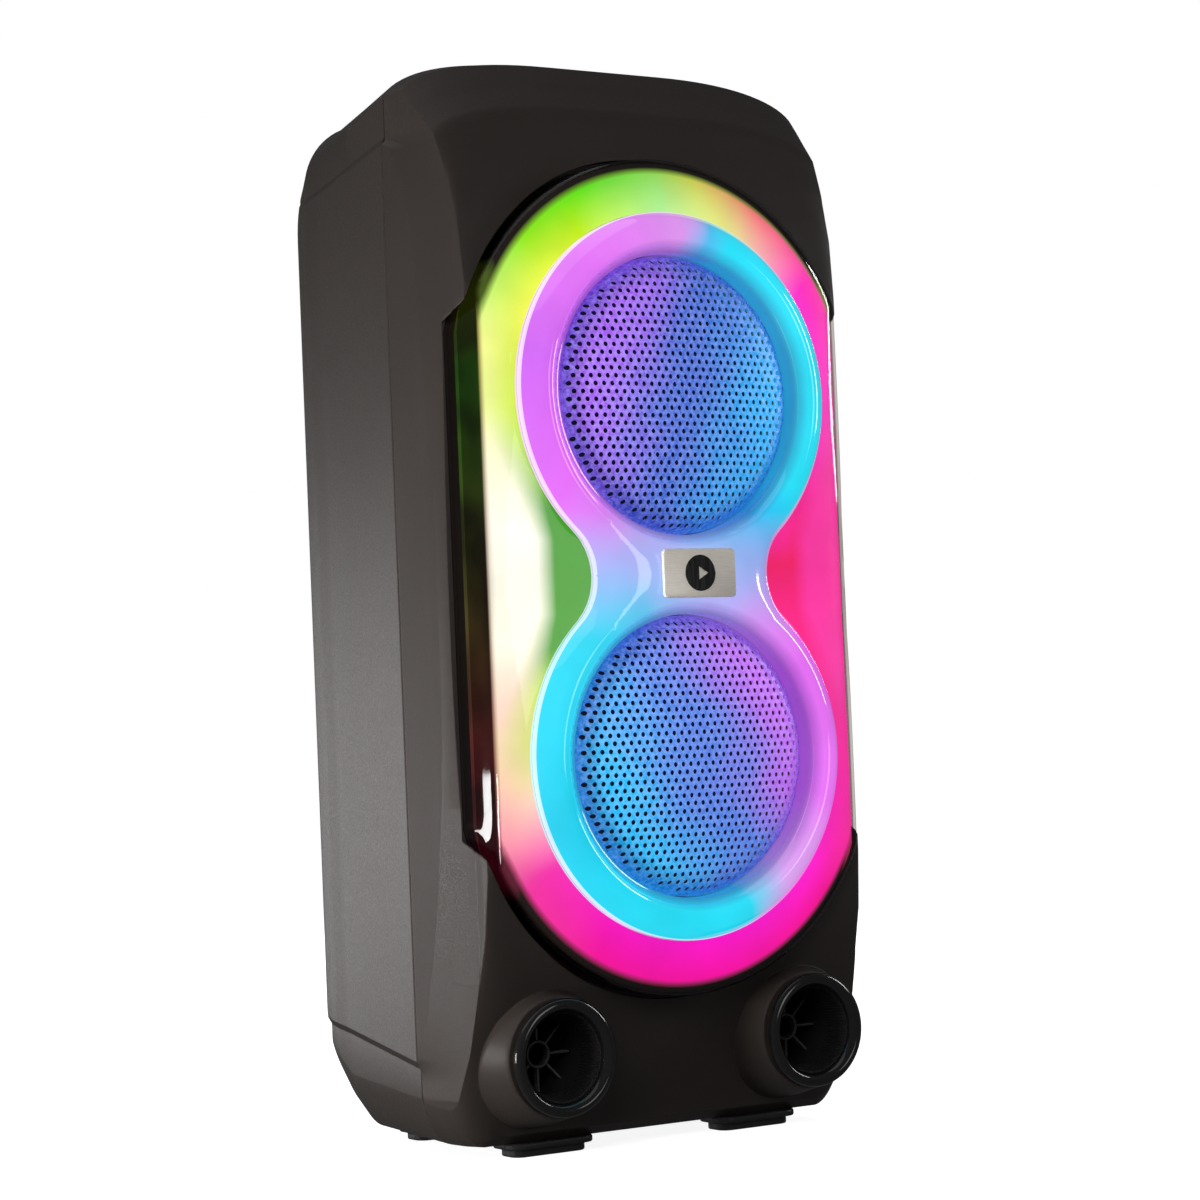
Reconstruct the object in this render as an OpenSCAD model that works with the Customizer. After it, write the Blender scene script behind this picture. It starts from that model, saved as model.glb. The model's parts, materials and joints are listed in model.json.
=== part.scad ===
// Party speaker: a tall two-woofer cabinet with a glowing light cover,
// a figure-eight bezel, two forward bass ports and a rear connection panel.
// Millimetres. Z is up, the front faces -Y, the feet stand on Z = 0.

/* [Cabinet] */
// Height of the whole speaker, feet included
total_h = 600; // [590:2:612]
// Width across the joint line of the two housings
body_w = 272; // [268:1:276]
// Depth from the badge to the back wall
total_d = 232; // [230:1:236]
// Height of the feet below the cabinet
foot_h = 8; // [6:1:10]
// Wall thickness of the two housings
wall = 3; // [2.5:0.25:3.5]

/* [Light front] */
// Distance between the two woofer centres
woofer_pitch = 197; // [195:1:199]
// Radius of each lobe of the figure-eight bezel
lobe_r = 100; // [99:0.5:101]
// Half width of the bezel at its waist
waist_w = 56.5; // [54:0.5:58]
// Radius of the two openings in the bezel
opening_r = 77; // [76.5:0.25:77.5]
// Radius of the round ends of the light cover
cover_r = 130.5; // [129.5:0.5:131]
// Half width of the flat face of the light cover
cover_w = 118; // [116:0.5:118.5]
// Wall thickness of the light cover
cover_t = 2.2; // [2:0.1:2.4]

/* [Bass ports] */
// Distance of each port axis from the middle plane
port_x = 82.8; // [82:0.2:84]
// Height of the port axes above the floor
port_z = 56; // [55:0.5:58]
// Inner radius of the straight port tube
port_r = 20; // [19:0.25:20.5]
// Outer radius of the glossy mouth ring
port_ring_r = 31.6; // [31:0.2:32]

/* [Woofers] */
// Outer radius of the woofer frame flange
flange_r = 82.5; // [82:0.25:83]
// Outer radius of the ferrite magnet
magnet_r = 45; // [42:1:46]
// Radius of the centre pole
pole_r = 18; // [17.5:0.25:18.25]
// Travel of a cone each way
cone_travel = 4; // [2:0.5:4]

/* [Hidden] */
$fn = 64;
half_d = total_d / 2;
half_w = body_w / 2;
// Middle of the light front, halfway between the woofers.
mid_z = total_h / 2 + 11;
upper_z = mid_z + woofer_pitch / 2;
lower_z = mid_z - woofer_pitch / 2;
woofer_zs = [upper_z, lower_z];
// Depth stations are distances forward of the middle of the depth.
bezel_f = half_d - 17;
cover_f = half_d - 26;
front_f = half_d - 31;
floor_f = half_d - 50;
seam_f = half_d - 91;
seam_gap = 0.6;
baffle_t = 4;
flange_f = floor_f + 3;
screw_ring = 77.7;
eps = 0.05;
gap = 0.3;

// Cabinet stations, front to back: forward position, half width, height of the
// top and of the bottom, then the width and height of the bevelled top corner
// and of the bottom corner.
stations = [
    [front_f, half_w - 17, mid_z + 150, mid_z - 150, 4, 4, 4, 4],
    [front_f - 1.5, half_w - 13, mid_z + 165, mid_z - 165, 8, 8, 8, 8],
    [front_f - 4.7, half_w - 12, mid_z + 199, mid_z - 199, 14, 10, 12, 10],
    [front_f - 10.8, half_w - 11, mid_z + 225, mid_z - 225, 26, 12, 20, 12],
    [front_f - 20.3, half_w - 4.5, total_h - 31, mid_z - 258, 98, 29, 28, 14],
    [front_f - 32, half_w - 3, total_h - 18, foot_h + 5, 99, 29, 26, 40],
    [front_f - 37, half_w - 2.5, total_h - 12, foot_h, 99, 29, 23, 44],
    [front_f - 46, half_w - 1.5, total_h - 2, foot_h, 98, 29, 20, 45],
    [seam_f, half_w, total_h, foot_h, 88, 32, 20, 45],
    [-half_d + 41, half_w - 12.5, total_h - 12, foot_h, 70, 38, 22, 52],
    [-half_d + 25, half_w - 13.5, total_h - 13, foot_h + 7, 53, 48, 24, 54],
    [-half_d + 11, half_w - 16, total_h - 22, foot_h + 17, 42, 62, 24, 50],
    [-half_d + 3, half_w - 21, total_h - 34, foot_h + 28, 38, 56, 22, 44],
    [-half_d, half_w - 28, total_h - 48, foot_h + 40, 32, 48, 20, 36]
];

// ---------------------------------------------------------------- helpers

// Turns a drawing in width and height to face forward, starting at f.
module forward(f) {
    translate([0, -f, 0]) rotate([90, 0, 0]) children();
}

// A plate between two forward positions, drawn in width and height.
module plate(f0, f1) {
    forward(f0) linear_extrude(f1 - f0) children();
}

// A turned shape about a forward axis; the profile is radius and forward.
module turned(x, z) {
    translate([x, 0, z]) rotate([90, 0, 0]) rotate_extrude($fn = 96) children();
}

// A plain round hole or bar about a forward axis.
module round_bar(x, z, r, f0, f1) {
    translate([x, -f0, z]) rotate([90, 0, 0]) cylinder(r = r, h = f1 - f0);
}

module rounded_rect(w, h, r) {
    square([w - 2 * r, h], center = true);
    square([w, h - 2 * r], center = true);
    for (sx = [-1, 1]) {
        for (sy = [-1, 1]) {
            translate([sx * (w / 2 - r), sy * (h / 2 - r)]) circle(r);
        }
    }
}

// ---------------------------------------------------------------- cabinet

// Right half of one cabinet station, bottom to top, drawn in by e.
function half_outline(s, e) = let (
    w = s[1] - e, top = s[2] - e, low = s[3] + e,
    tw = s[4], th = s[5], bw = s[6], bh = s[7]
) [
    [w - bw, low],
    [w - 0.55 * bw, low + 0.18 * bh],
    [w - 0.25 * bw, low + 0.5 * bh],
    [w, low + bh],
    [w, top - th],
    [w - 0.07 * tw, top - 0.57 * th],
    [w - 0.25 * tw, top - 0.25 * th],
    [w - 0.57 * tw, top - 0.07 * th],
    [w - tw, top],
    [0, top]
];

module station_outline(s, e) {
    half = half_outline(s, e);
    last = len(half) - 1;
    left = [for (i = [last - 1 : -1 : 0]) [-half[i][0], half[i][1]]];
    polygon(concat(half, left));
}

// The whole cabinet as one solid, drawn in by e on every side.
module cabinet_solid(e) {
    hull() {
        for (s = stations) {
            shift = e * s[0] / half_d;
            plate(s[0] - shift - 0.01, s[0] - shift) station_outline(s, e);
        }
    }
}

// Everything forward of f.
module in_front_of(f) {
    translate([-200, -200 - f, -50]) cube([400, 200, 800]);
}

// Everything behind f.
module behind(f) {
    translate([-200, -f, -50]) cube([400, 400, 800]);
}

// Outline of the light cover: straight sides and two round ends.
module stadium(r) {
    square([2 * r, woofer_pitch], center = true);
    for (sz = [-1, 1]) {
        translate([0, sz * woofer_pitch / 2]) circle(r, $fn = 128);
    }
}

module cover_pocket(grow, f) {
    plate(f, half_d + 20) translate([0, mid_z]) stadium(cover_r + grow);
}

// Front edge of the raised side panel, top to bottom: forward position and height.
panel_edge = [
    [12, mid_z + 246], [25, mid_z + 240], [38, mid_z + 232], [48, mid_z + 214], [56, mid_z + 174],
    [61, mid_z + 109], [65, mid_z + 19], [65, mid_z - 41], [60, mid_z - 121], [52, mid_z - 181],
    [42, mid_z - 221], [30, mid_z - 255], [12, mid_z - 275]
];

// Everything outside the level of a front pillar, in front of the raised side panel.
module pillar_relief(side) {
    mirror([side < 0 ? 1 : 0, 0, 0])
        translate([half_w - 2.6, -seam_f, 0]) rotate([0, 0, -9.2])
            translate([0, seam_f, 0]) rotate([90, 0, 90]) linear_extrude(30)
                polygon(concat([for (p = panel_edge) [-p[0], p[1]]],
                    [[-130, mid_z - 320], [-130, mid_z + 320]]));
}

// Cone that carries a port mouth, as part of the front housing.
module port_boss(side, grow, f1) {
    translate([side * port_x, -(seam_f + 20), port_z]) rotate([90, 0, 0])
        cylinder(r1 = 42 + grow, r2 = 32.5 + grow, h = f1 - seam_f - 20, $fn = 96);
}

// Solid core behind each pillar's relief, so that the wall stays thick there.
module pillar_core(side) {
    translate([side * (half_w + 5) - 20, -150, -20]) cube([40, 150 - seam_f + 1, 700]);
}

module front_housing() {
    boss_f = half_d - 30;
    difference() {
        union() {
            difference() {
                cabinet_solid(0);
                difference() {
                    cabinet_solid(wall);
                    cover_pocket(6, floor_f - baffle_t);
                    for (side = [-1, 1]) {
                        pillar_core(side);
                    }
                }
            }
            for (side = [-1, 1]) {
                port_boss(side, 0, boss_f);
            }
        }
        cover_pocket(2.2, floor_f);
        for (side = [-1, 1]) {
            pillar_relief(side);
            port_boss(side, -wall, boss_f - wall);
            round_bar(side * port_x, port_z, 27, seam_f, half_d);
        }
        for (z = woofer_zs) {
            round_bar(0, z, 73, seam_f, half_d);
            flange_holes(z, 2, floor_f - 20, half_d);
        }
        behind(seam_f);
    }
}

// ---------------------------------------------------------------- rear housing

panel_w = 160;
panel_h = 120;
panel_z = mid_z + 60;
cup_w = 130;
cup_h = 46;
cup_z = total_h - 90;
flange_t = 1.5;
control_w = 116;
control_d = 62;
top_tilt = atan2(12, seam_f + half_d - 41);
screw_spots = [
    [-98, 100], [98, 100], [-98, 240], [98, 240], [-98, 380], [98, 380],
    [-92, 505], [92, 505]
];

// Places children on the sloping top of the rear housing.
module on_top(x, y) {
    translate([0, -seam_f, total_h]) rotate([-top_tilt, 0, 0])
        translate([x, 58 + y, 0]) children();
}

module rear_housing() {
    difference() {
        cabinet_solid(0);
        cabinet_solid(wall);
        in_front_of(seam_f - seam_gap);
        // Back openings with a shallow rebate for each flange.
        plate(-half_d - 1, -half_d + flange_t)
            translate([0, panel_z]) rounded_rect(panel_w + 12 + gap, panel_h + 12 + gap, 8);
        plate(-half_d - 1, -half_d + 10)
            translate([0, panel_z]) rounded_rect(panel_w + gap, panel_h + gap, 5);
        plate(-half_d - 1, -half_d + flange_t)
            translate([0, cup_z]) rounded_rect(cup_w + 12 + gap, cup_h + 12 + gap, 12);
        plate(-half_d - 1, -half_d + 10)
            translate([0, cup_z]) rounded_rect(cup_w + gap, cup_h + gap, 10);
        // Top opening for the control panel.
        on_top(0, 0) translate([0, 0, -flange_t]) linear_extrude(10)
            rounded_rect(control_w + gap, control_d + gap, 10);
        on_top(0, 0) translate([0, 0, -12]) linear_extrude(20)
            rounded_rect(control_w - 10, control_d - 10, 6);
        for (p = screw_spots) {
            round_bar(p[0], p[1], 3.6, -half_d - 1, -half_d + 1.4);
            round_bar(p[0], p[1], 1.8, -half_d - 1, -half_d + 8);
        }
    }
}

// Foam strip pressed between the two housings.
module seam_gasket() {
    difference() {
        plate(seam_f - seam_gap, seam_f) station_outline(stations[8], 1);
        plate(seam_f - seam_gap - 1, seam_f + 1) station_outline(stations[8], wall - 0.2);
    }
}

// ---------------------------------------------------------------- light front

// Outline of the figure-eight bezel, drawn in by e.
module figure8(e) {
    r = lobe_r - e;
    w = waist_w - e;
    h = woofer_pitch / 2;
    fillet = (h * h + w * w - r * r) / (2 * (r - w));
    tangent = atan2(h, w + fillet);
    round_turn = 180 + 2 * tangent;
    lobe = [for (i = [0 : 48]) -tangent + round_turn * i / 48];
    waist = [for (i = [1 : 11]) tangent - 2 * tangent * i / 12];
    right_half = concat(
        [for (a = lobe) [r * cos(a), h + r * sin(a)]],
        [for (a = waist) [-w - fillet + fillet * cos(a), fillet * sin(a)]]
    );
    polygon(concat(right_half, [for (p = right_half) -p]));
}

// Light cover as a solid drawn in by e, from back_f on: a bevelled face and splayed sides.
module cover_body(e, back_f) {
    hull() {
        plate(back_f, back_f + 1) cover_outline(cover_r - e, cover_w + 8 - e);
        plate(cover_f - e - 1, cover_f - 0.9 * e) cover_outline(cover_r - e, cover_w - e);
        plate(bezel_f - 3 - e, bezel_f - 1.5 - e) cover_outline(lobe_r + 6 - e, lobe_r + 6 - e);
    }
}

// Round-ended outline of radius r with its straight sides cut to half width w.
module cover_outline(r, w) {
    first = acos(min(w / r, 1));
    h = woofer_pitch / 2;
    arc = [for (i = [0 : 16]) first + (180 - 2 * first) * i / 16];
    top = [for (a = arc) [r * cos(a), mid_z + h + r * sin(a)]];
    low = [for (a = arc) [-r * cos(a), mid_z - h - r * sin(a)]];
    polygon(concat(top, low));
}

module light_cover() {
    difference() {
        cover_body(0, floor_f);
        cover_body(cover_t, floor_f - 1);
        plate(floor_f - 2, half_d + 5) translate([0, mid_z]) figure8(-gap);
    }
}

module light_diffuser() {
    inset = cover_t + 2.6;
    difference() {
        cover_body(inset, floor_f);
        cover_body(inset + 2, floor_f - 1);
        plate(floor_f - 2, half_d + 5) translate([0, mid_z]) figure8(-gap);
        behind(floor_f + 5);
    }
}

module light_board() {
    difference() {
        plate(floor_f, floor_f + 1.6) intersection() {
            translate([0, mid_z]) stadium(117);
            translate([0, mid_z]) square([2 * (cover_w - 9), 440], center = true);
        }
        for (z = woofer_zs) {
            round_bar(0, z, flange_r + 1, floor_f - 1, floor_f + 3);
        }
    }
    for (sx = [-1, 1]) {
        for (z = [-180 : 18 : 180]) {
            lane = abs(z) < 40 ? 80 : 100;
            clear = abs(z) > 120 ? 62 + (180 - abs(z)) * 0.65 : lane;
            plate(floor_f + 1.6 - eps, floor_f + 3.2)
                translate([sx * clear, mid_z + z]) square(5, center = true);
        }
    }
}

// Cross-section of the ring round one opening: a bevelled outer slope and a rounded crest.
module bezel_ridge(z) {
    crest_f = half_d - 5;
    turned(0, z) polygon([
        [opening_r - 2, bezel_f - 3], [lobe_r - 0.5, bezel_f - 3],
        [lobe_r - 0.5, bezel_f + 0.5], [lobe_r - 4, bezel_f + 6.5],
        [lobe_r - 9, crest_f - 1], [lobe_r - 13, crest_f],
        [opening_r + 4, crest_f - 1.5], [opening_r - 2, bezel_f + 1]
    ]);
}

// Flat land between the two rings, which carries the badge.
module bezel_saddle() {
    plate(bezel_f - 3, half_d - 2.5) intersection() {
        translate([0, mid_z]) figure8(9);
        translate([0, mid_z]) square([2 * waist_w, 88], center = true);
    }
}

// Raised figure-eight ring round both openings, with a light channel behind each ring.
module figure8_bezel() {
    t = 2.4;
    difference() {
        union() {
            plate(bezel_f - 3, bezel_f) translate([0, mid_z]) figure8(0);
            bezel_saddle();
            for (z = woofer_zs) {
                bezel_ridge(z);
                // Skirt that stands on the woofer flange.
                round_bar(0, z, opening_r + t, flange_f, bezel_f + 3);
            }
        }
        for (z = woofer_zs) {
            round_bar(0, z, opening_r, floor_f, half_d + 5);
            turned(0, z) translate([opening_r + 4, bezel_f - 8]) square([12, 14]);
        }
    }
    // Ledge under each grille.
    for (z = woofer_zs) {
        turned(0, z) translate([opening_r - 3, bezel_f - 14]) square([3.6, 2]);
    }
}

// Bowed metal grille; its many small holes are left out here.
module grille(z) {
    r = opening_r - gap;
    base = bezel_f - 12;
    turned(0, z) polygon([
        [r, base], [r, bezel_f - 1], [r - 9, bezel_f + 5.5], [r - 24, bezel_f + 8.2],
        [r - 44, bezel_f + 10], [0, bezel_f + 11], [0, bezel_f + 9.8],
        [r - 44, bezel_f + 8.8], [r - 24, bezel_f + 7], [r - 9.5, bezel_f + 4.4],
        [r - 1.2, bezel_f - 1.6], [r - 1.2, base]
    ]);
}

module badge_plate() {
    plate(half_d - 2.5, half_d - 0.5) translate([0, mid_z]) rounded_rect(47, 26.5, 2.5);
}

// Plain dark disc with a raised triangle.
module badge_emblem() {
    plate(half_d - 0.5, half_d) translate([0, mid_z]) difference() {
        circle(9.8);
        translate([1, 0]) circle(4.2, $fn = 3);
    }
}

// ---------------------------------------------------------------- bass ports

module port_tube(side) {
    mouth_f = half_d - 30;
    guard_f = mouth_f - 28;
    turned(side * port_x, port_z) polygon([
        [port_r, -25], [port_r, mouth_f - 22], [port_r + 0.8, mouth_f - 12],
        [port_r + 2.2, mouth_f - 4], [port_r + 3.8, mouth_f + 2],
        [30, mouth_f + 2], [30, mouth_f], [26.6, mouth_f], [24, mouth_f - 10],
        [port_r + 2, mouth_f - 22], [port_r + 2, -25]
    ]);
    // Finger guard: a small ring on eight spokes.
    turned(side * port_x, port_z) translate([6, guard_f]) square([1.6, 5]);
    for (a = [0 : 45 : 315]) {
        translate([side * port_x, -guard_f, port_z]) rotate([90, 0, 0]) rotate([0, 0, a])
            translate([6.8, -0.6, 0]) cube([port_r - 6, 1.2, 4]);
    }
}

module port_ring(side) {
    base = half_d - 28;
    turned(side * port_x, port_z) polygon([
        [port_r + 3.9, base], [port_ring_r, base], [port_ring_r, base + 3],
        [port_ring_r - 1.6, base + 4.6], [port_ring_r - 4.4, base + 5],
        [port_r + 5.4, base + 3.4], [port_r + 3.9, base + 1]
    ]);
}

// ---------------------------------------------------------------- woofers

coil_r = pole_r + 1.3;

// Four screw positions round a woofer flange.
module flange_holes(z, r, f0, f1) {
    for (a = [45 : 90 : 315]) {
        round_bar(screw_ring * cos(a), z + screw_ring * sin(a), r, f0, f1);
    }
}

module basket(z) {
    difference() {
        turned(0, z) polygon([
            [72, floor_f - 6], [50, 20], [20, 20], [20, 22], [36, 22], [36, 25],
            [40, 25], [40, 22.5], [48.6, 22.5], [69.6, floor_f - 6], [69.6, floor_f],
            [68, floor_f + 1], [68, flange_f], [flange_r, flange_f],
            [flange_r, floor_f], [72, floor_f]
        ]);
        for (a = [0 : 60 : 300]) {
            translate([0, -41, z]) rotate([0, a, 0]) translate([44, -13, -14])
                cube([30, 26, 28]);
        }
        flange_holes(z, 2, floor_f - 1, flange_f + 1);
    }
}

module surround(z) {
    turned(0, z) difference() {
        union() {
            translate([66, flange_f]) circle(5, $fn = 48);
            translate([59, flange_f]) square([15, 0.9]);
        }
        translate([66, flange_f]) circle(4.1, $fn = 48);
        translate([55, flange_f - 10]) square([22, 10]);
    }
}

module cone(z) {
    turned(0, z) polygon([
        [coil_r, 38], [61.4, flange_f - 1], [62, flange_f - 1], [62, flange_f],
        [59, flange_f], [coil_r, 39.4]
    ]);
}

module dust_cap(z) {
    turned(0, z) polygon([
        [26, 44.6], [23, 48.4], [16, 52], [8, 54], [0, 54.6], [0, 53.8],
        [8, 53.2], [15.6, 51.3], [22.4, 47.7], [25, 44]
    ]);
}

// The coil reaches far enough back to stay in the gap over the whole travel.
module voice_coil(z) {
    back_f = 12 - cone_travel;
    turned(0, z) translate([coil_r - 0.9, back_f]) square([0.9, 39.8 - back_f]);
}

module spider(z) {
    turned(0, z) polygon([
        [coil_r, 25.2], [24, 26.6], [28, 25.2], [32, 26.6], [36, 25],
        [39.8, 25], [39.8, 25.8], [36.2, 25.8], [32, 27.4], [28, 26], [24, 27.4],
        [coil_r, 26]
    ]);
}

module top_plate(z) {
    turned(0, z) translate([pole_r + 1.8, 15]) square([magnet_r - pole_r - 2.8, 5]);
}

module magnet(z) {
    turned(0, z) translate([pole_r + 5, -2]) square([magnet_r - pole_r - 5, 17]);
}

module yoke(z) {
    turned(0, z) polygon([
        [0, -7], [magnet_r - 3, -7], [magnet_r - 1, -5], [magnet_r - 1, -2],
        [pole_r, -2], [pole_r, 20], [0, 20]
    ]);
}

module woofer_screws() {
    for (z = woofer_zs) {
        flange_holes(z, 1.9, floor_f - baffle_t - 5, flange_f);
    }
}

// ---------------------------------------------------------------- feet

foot_front = front_f - 44;
foot_rear = half_d - 54;

module foot(side, y) {
    translate([side * 68.5, y, 0]) {
        linear_extrude(foot_h) rounded_rect(47, 20, 7);
        translate([0, 0, foot_h * 0.55]) linear_extrude(foot_h * 0.45)
            rounded_rect(55, 27, 9);
    }
}

// ---------------------------------------------------------------- top controls

button_xs = [-42.5, -25.5, -8.5, 8.5, 25.5, 42.5];
button_y = 12;
button_r = 5.6;

module control_panel() {
    on_top(0, 0) difference() {
        union() {
            translate([0, 0, -flange_t]) linear_extrude(flange_t)
                rounded_rect(control_w, control_d, 10);
            translate([0, 0, -5]) linear_extrude(4)
                rounded_rect(control_w - 10.4, control_d - 10.4, 5.8);
        }
        for (x = button_xs) {
            translate([x, button_y, -6]) cylinder(r = button_r + gap, h = 8);
        }
        translate([0, -14, -1]) linear_extrude(4) rounded_rect(60, 16, 3);
    }
}

module display_window() {
    on_top(0, 0) translate([0, -14, -1]) linear_extrude(1.2)
        rounded_rect(60 - gap, 16 - gap, 3 - gap / 2);
}

module button(i) {
    on_top(button_xs[i], button_y) {
        translate([0, 0, -5.5]) cylinder(r = button_r, h = 6);
        translate([0, 0, 0.4]) cylinder(r = button_r - 1.2, h = 0.7);
        translate([0, 0, -9]) cylinder(r = 2, h = 4);
    }
}

module control_board() {
    on_top(0, 0) translate([-50, -24, -13.2]) cube([100, 48, 1.6]);
    for (x = button_xs) {
        on_top(x, button_y) translate([-3, -3, -11.6 - eps]) cube([6, 6, 1.5]);
    }
}

// ---------------------------------------------------------------- rear panel

tray_d = 18;
tray_f = -half_d + tray_d;
board_f = tray_f + 30;
jack_z = panel_z - 34;
mic_xs = [-54, -24];
knob_x = 46;
knob_z = panel_z + 26;
aux_x = 6;
usb_x = 30;
inlet_x = 58;
switch_x = -48;
switch_z = panel_z + 26;

module input_panel() {
    difference() {
        union() {
            plate(-half_d, -half_d + flange_t)
                translate([0, panel_z]) rounded_rect(panel_w + 12, panel_h + 12, 7.8);
            plate(-half_d, tray_f + 2.5)
                translate([0, panel_z]) rounded_rect(panel_w, panel_h, 4.8);
            for (sx = [-1, 1]) {
                for (sz = [-1, 1]) {
                    round_bar(sx * 64, panel_z - 4 + sz * 44, 3, tray_f + 2, board_f);
                }
            }
        }
        plate(-half_d - 1, tray_f)
            translate([0, panel_z]) rounded_rect(panel_w - 5, panel_h - 5, 3);
        for (x = mic_xs) {
            round_bar(x, jack_z, 7, tray_f - 1, tray_f + 5);
        }
        round_bar(aux_x, jack_z, 4.5, tray_f - 1, tray_f + 5);
        round_bar(inlet_x, jack_z, 6.5, tray_f - 1, tray_f + 5);
        round_bar(knob_x, knob_z, 4, tray_f - 1, tray_f + 5);
        plate(tray_f - 1, tray_f + 5) translate([usb_x, jack_z]) square([14.4, 7.4], center = true);
        plate(tray_f - 1, tray_f + 5) translate([switch_x, switch_z]) square([21, 15], center = true);
    }
}

// Round socket with a hexagon nut face outside and a body inside.
module jack(x, hole_r, neck_r, nut_r, depth) {
    difference() {
        union() {
            round_bar(x, jack_z, neck_r - 0.1, tray_f - 2, tray_f + 3);
            translate([x, -(tray_f - 2.5), jack_z]) rotate([90, 0, 0])
                cylinder(r = nut_r, h = 2.5, $fn = 6);
            plate(tray_f + 2.5, tray_f + depth)
                translate([x, jack_z]) square(2 * neck_r + 3, center = true);
        }
        round_bar(x, jack_z, hole_r, tray_f - 5, tray_f + depth - 3);
    }
}

module usb_socket() {
    difference() {
        plate(tray_f - 0.8, tray_f + 14) translate([usb_x, jack_z]) square([14, 7], center = true);
        plate(tray_f - 2, tray_f + 11) translate([usb_x, jack_z]) square([12.6, 5.2], center = true);
    }
    plate(tray_f + 0.5, tray_f + 12) translate([usb_x, jack_z + 0.9]) square([11, 1.9], center = true);
}

module dc_inlet() {
    difference() {
        union() {
            round_bar(inlet_x, jack_z, 6.3, tray_f - 1.5, tray_f + 2.6);
            round_bar(inlet_x, jack_z, 8.5, tray_f - 2.5, tray_f);
            round_bar(inlet_x, jack_z, 8.5, tray_f + 2.5, tray_f + 14);
        }
        round_bar(inlet_x, jack_z, 2.8, tray_f - 4, tray_f + 11);
    }
}

module power_switch_bezel() {
    difference() {
        union() {
            plate(tray_f - 1.6, tray_f)
                translate([switch_x, switch_z]) rounded_rect(25, 19, 1.5);
            plate(tray_f - 0.5, tray_f + 15)
                translate([switch_x, switch_z]) square([20.6, 14.6], center = true);
        }
        plate(tray_f - 3, tray_f + 11)
            translate([switch_x, switch_z]) square([17.4, 11.4], center = true);
        translate([switch_x, -tray_f - 2, switch_z]) cylinder(r = 1.25, h = 20, center = true);
    }
}

// Rocker cap that tips about an upright axis through its middle.
module power_rocker() {
    translate([switch_x, -tray_f - 2, switch_z - 5.3]) linear_extrude(10.6)
        rotate(8) polygon([
            [-7.8, -0.5], [-7.8, 4.6], [0, 2.6], [7.8, 4.6], [7.8, -0.5], [4, -4], [-4, -4]
        ]);
    // Pivot pins.
    translate([switch_x, -tray_f - 2, switch_z]) cylinder(r = 1, h = 13.4, center = true);
}

module volume_knob() {
    difference() {
        round_bar(knob_x, knob_z, 13, tray_f - 14.5, tray_f - 0.6);
        for (a = [0 : 20 : 340]) {
            round_bar(knob_x + 13.6 * cos(a), knob_z + 13.6 * sin(a), 1.3, tray_f - 15, tray_f - 3);
        }
        plate(tray_f - 15, tray_f - 13.7) translate([knob_x, knob_z + 8.5])
            square([1.6, 7], center = true);
    }
    round_bar(knob_x, knob_z, 3, tray_f - 1, tray_f + 12);
}

module handle_cup() {
    cup_d = 36;
    difference() {
        union() {
            plate(-half_d, -half_d + flange_t)
                translate([0, cup_z]) rounded_rect(cup_w + 12, cup_h + 12, 11.8);
            plate(-half_d, -half_d + cup_d)
                translate([0, cup_z]) rounded_rect(cup_w, cup_h, 9.8);
        }
        plate(-half_d - 1, -half_d + cup_d - 2.5)
            translate([0, cup_z]) rounded_rect(cup_w - 5, cup_h - 5, 8);
    }
}

// ---------------------------------------------------------------- inside

module amplifier_board() {
    top = board_f + 1.6;
    plate(board_f, top) translate([0, panel_z - 4]) square([140, 100], center = true);
    for (x = [-50, -30, -10]) {
        round_bar(x, panel_z + 22, 7, top - eps, top + 18);
    }
    plate(top - eps, top + 4) translate([35, panel_z - 4]) square([46, 74], center = true);
    for (i = [0 : 7]) {
        plate(top + 4 - eps, top + 20)
            translate([14 + 6 * i, panel_z - 4]) square([2, 70], center = true);
    }
}

module battery_pack() {
    floor_z = foot_h + wall;
    translate([-60, half_d - 94, floor_z]) cube([120, 46, 66]);
    for (sx = [-1, 1]) {
        translate([sx * 66 - 8, half_d - 94, floor_z]) cube([16, 46, 4]);
    }
}

module housing_screws() {
    for (p = screw_spots) {
        round_bar(p[0], p[1], 3.3, -half_d, -half_d + 1.4);
        round_bar(p[0], p[1], 1.6, -half_d + 1.4 - eps, -half_d + 20);
    }
}

// ---------------------------------------------------------------- drawing

charcoal = "#3c3a38";
color(charcoal) front_housing();
color(charcoal) rear_housing();
color("#151515") seam_gasket();
color([0.6, 0.8, 0.3, 0.4]) light_cover();
color("#f0a0c0") light_diffuser();
color("#1c6b3a") light_board();
color("#9fc8f5") figure8_bezel();
color("#4a7be0") grille(upper_z);  // upper_grille
color("#4a7be0") grille(lower_z);  // lower_grille
color("#cfc6b8") badge_plate();
color("#151515") badge_emblem();
color("#222222") port_tube(-1);  // port_tube_left
color("#222222") port_tube(1);  // port_tube_right
color("#101010") port_ring(-1);  // port_ring_left
color("#101010") port_ring(1);  // port_ring_right
color("#2b2b2e") basket(upper_z);  // upper_basket
color("#1a1a1a") surround(upper_z);  // upper_surround
color("#2a2a2a") cone(upper_z);  // upper_cone
color("#333333") dust_cap(upper_z);  // upper_dust_cap
color("#b87333") voice_coil(upper_z);  // upper_voice_coil
color("#c9a24a") spider(upper_z);  // upper_spider
color("#9a9a9a") top_plate(upper_z);  // upper_top_plate
color("#404040") magnet(upper_z);  // upper_magnet
color("#9a9a9a") yoke(upper_z);  // upper_yoke
color("#2b2b2e") basket(lower_z);  // lower_basket
color("#1a1a1a") surround(lower_z);  // lower_surround
color("#2a2a2a") cone(lower_z);  // lower_cone
color("#333333") dust_cap(lower_z);  // lower_dust_cap
color("#b87333") voice_coil(lower_z);  // lower_voice_coil
color("#c9a24a") spider(lower_z);  // lower_spider
color("#9a9a9a") top_plate(lower_z);  // lower_top_plate
color("#404040") magnet(lower_z);  // lower_magnet
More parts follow.
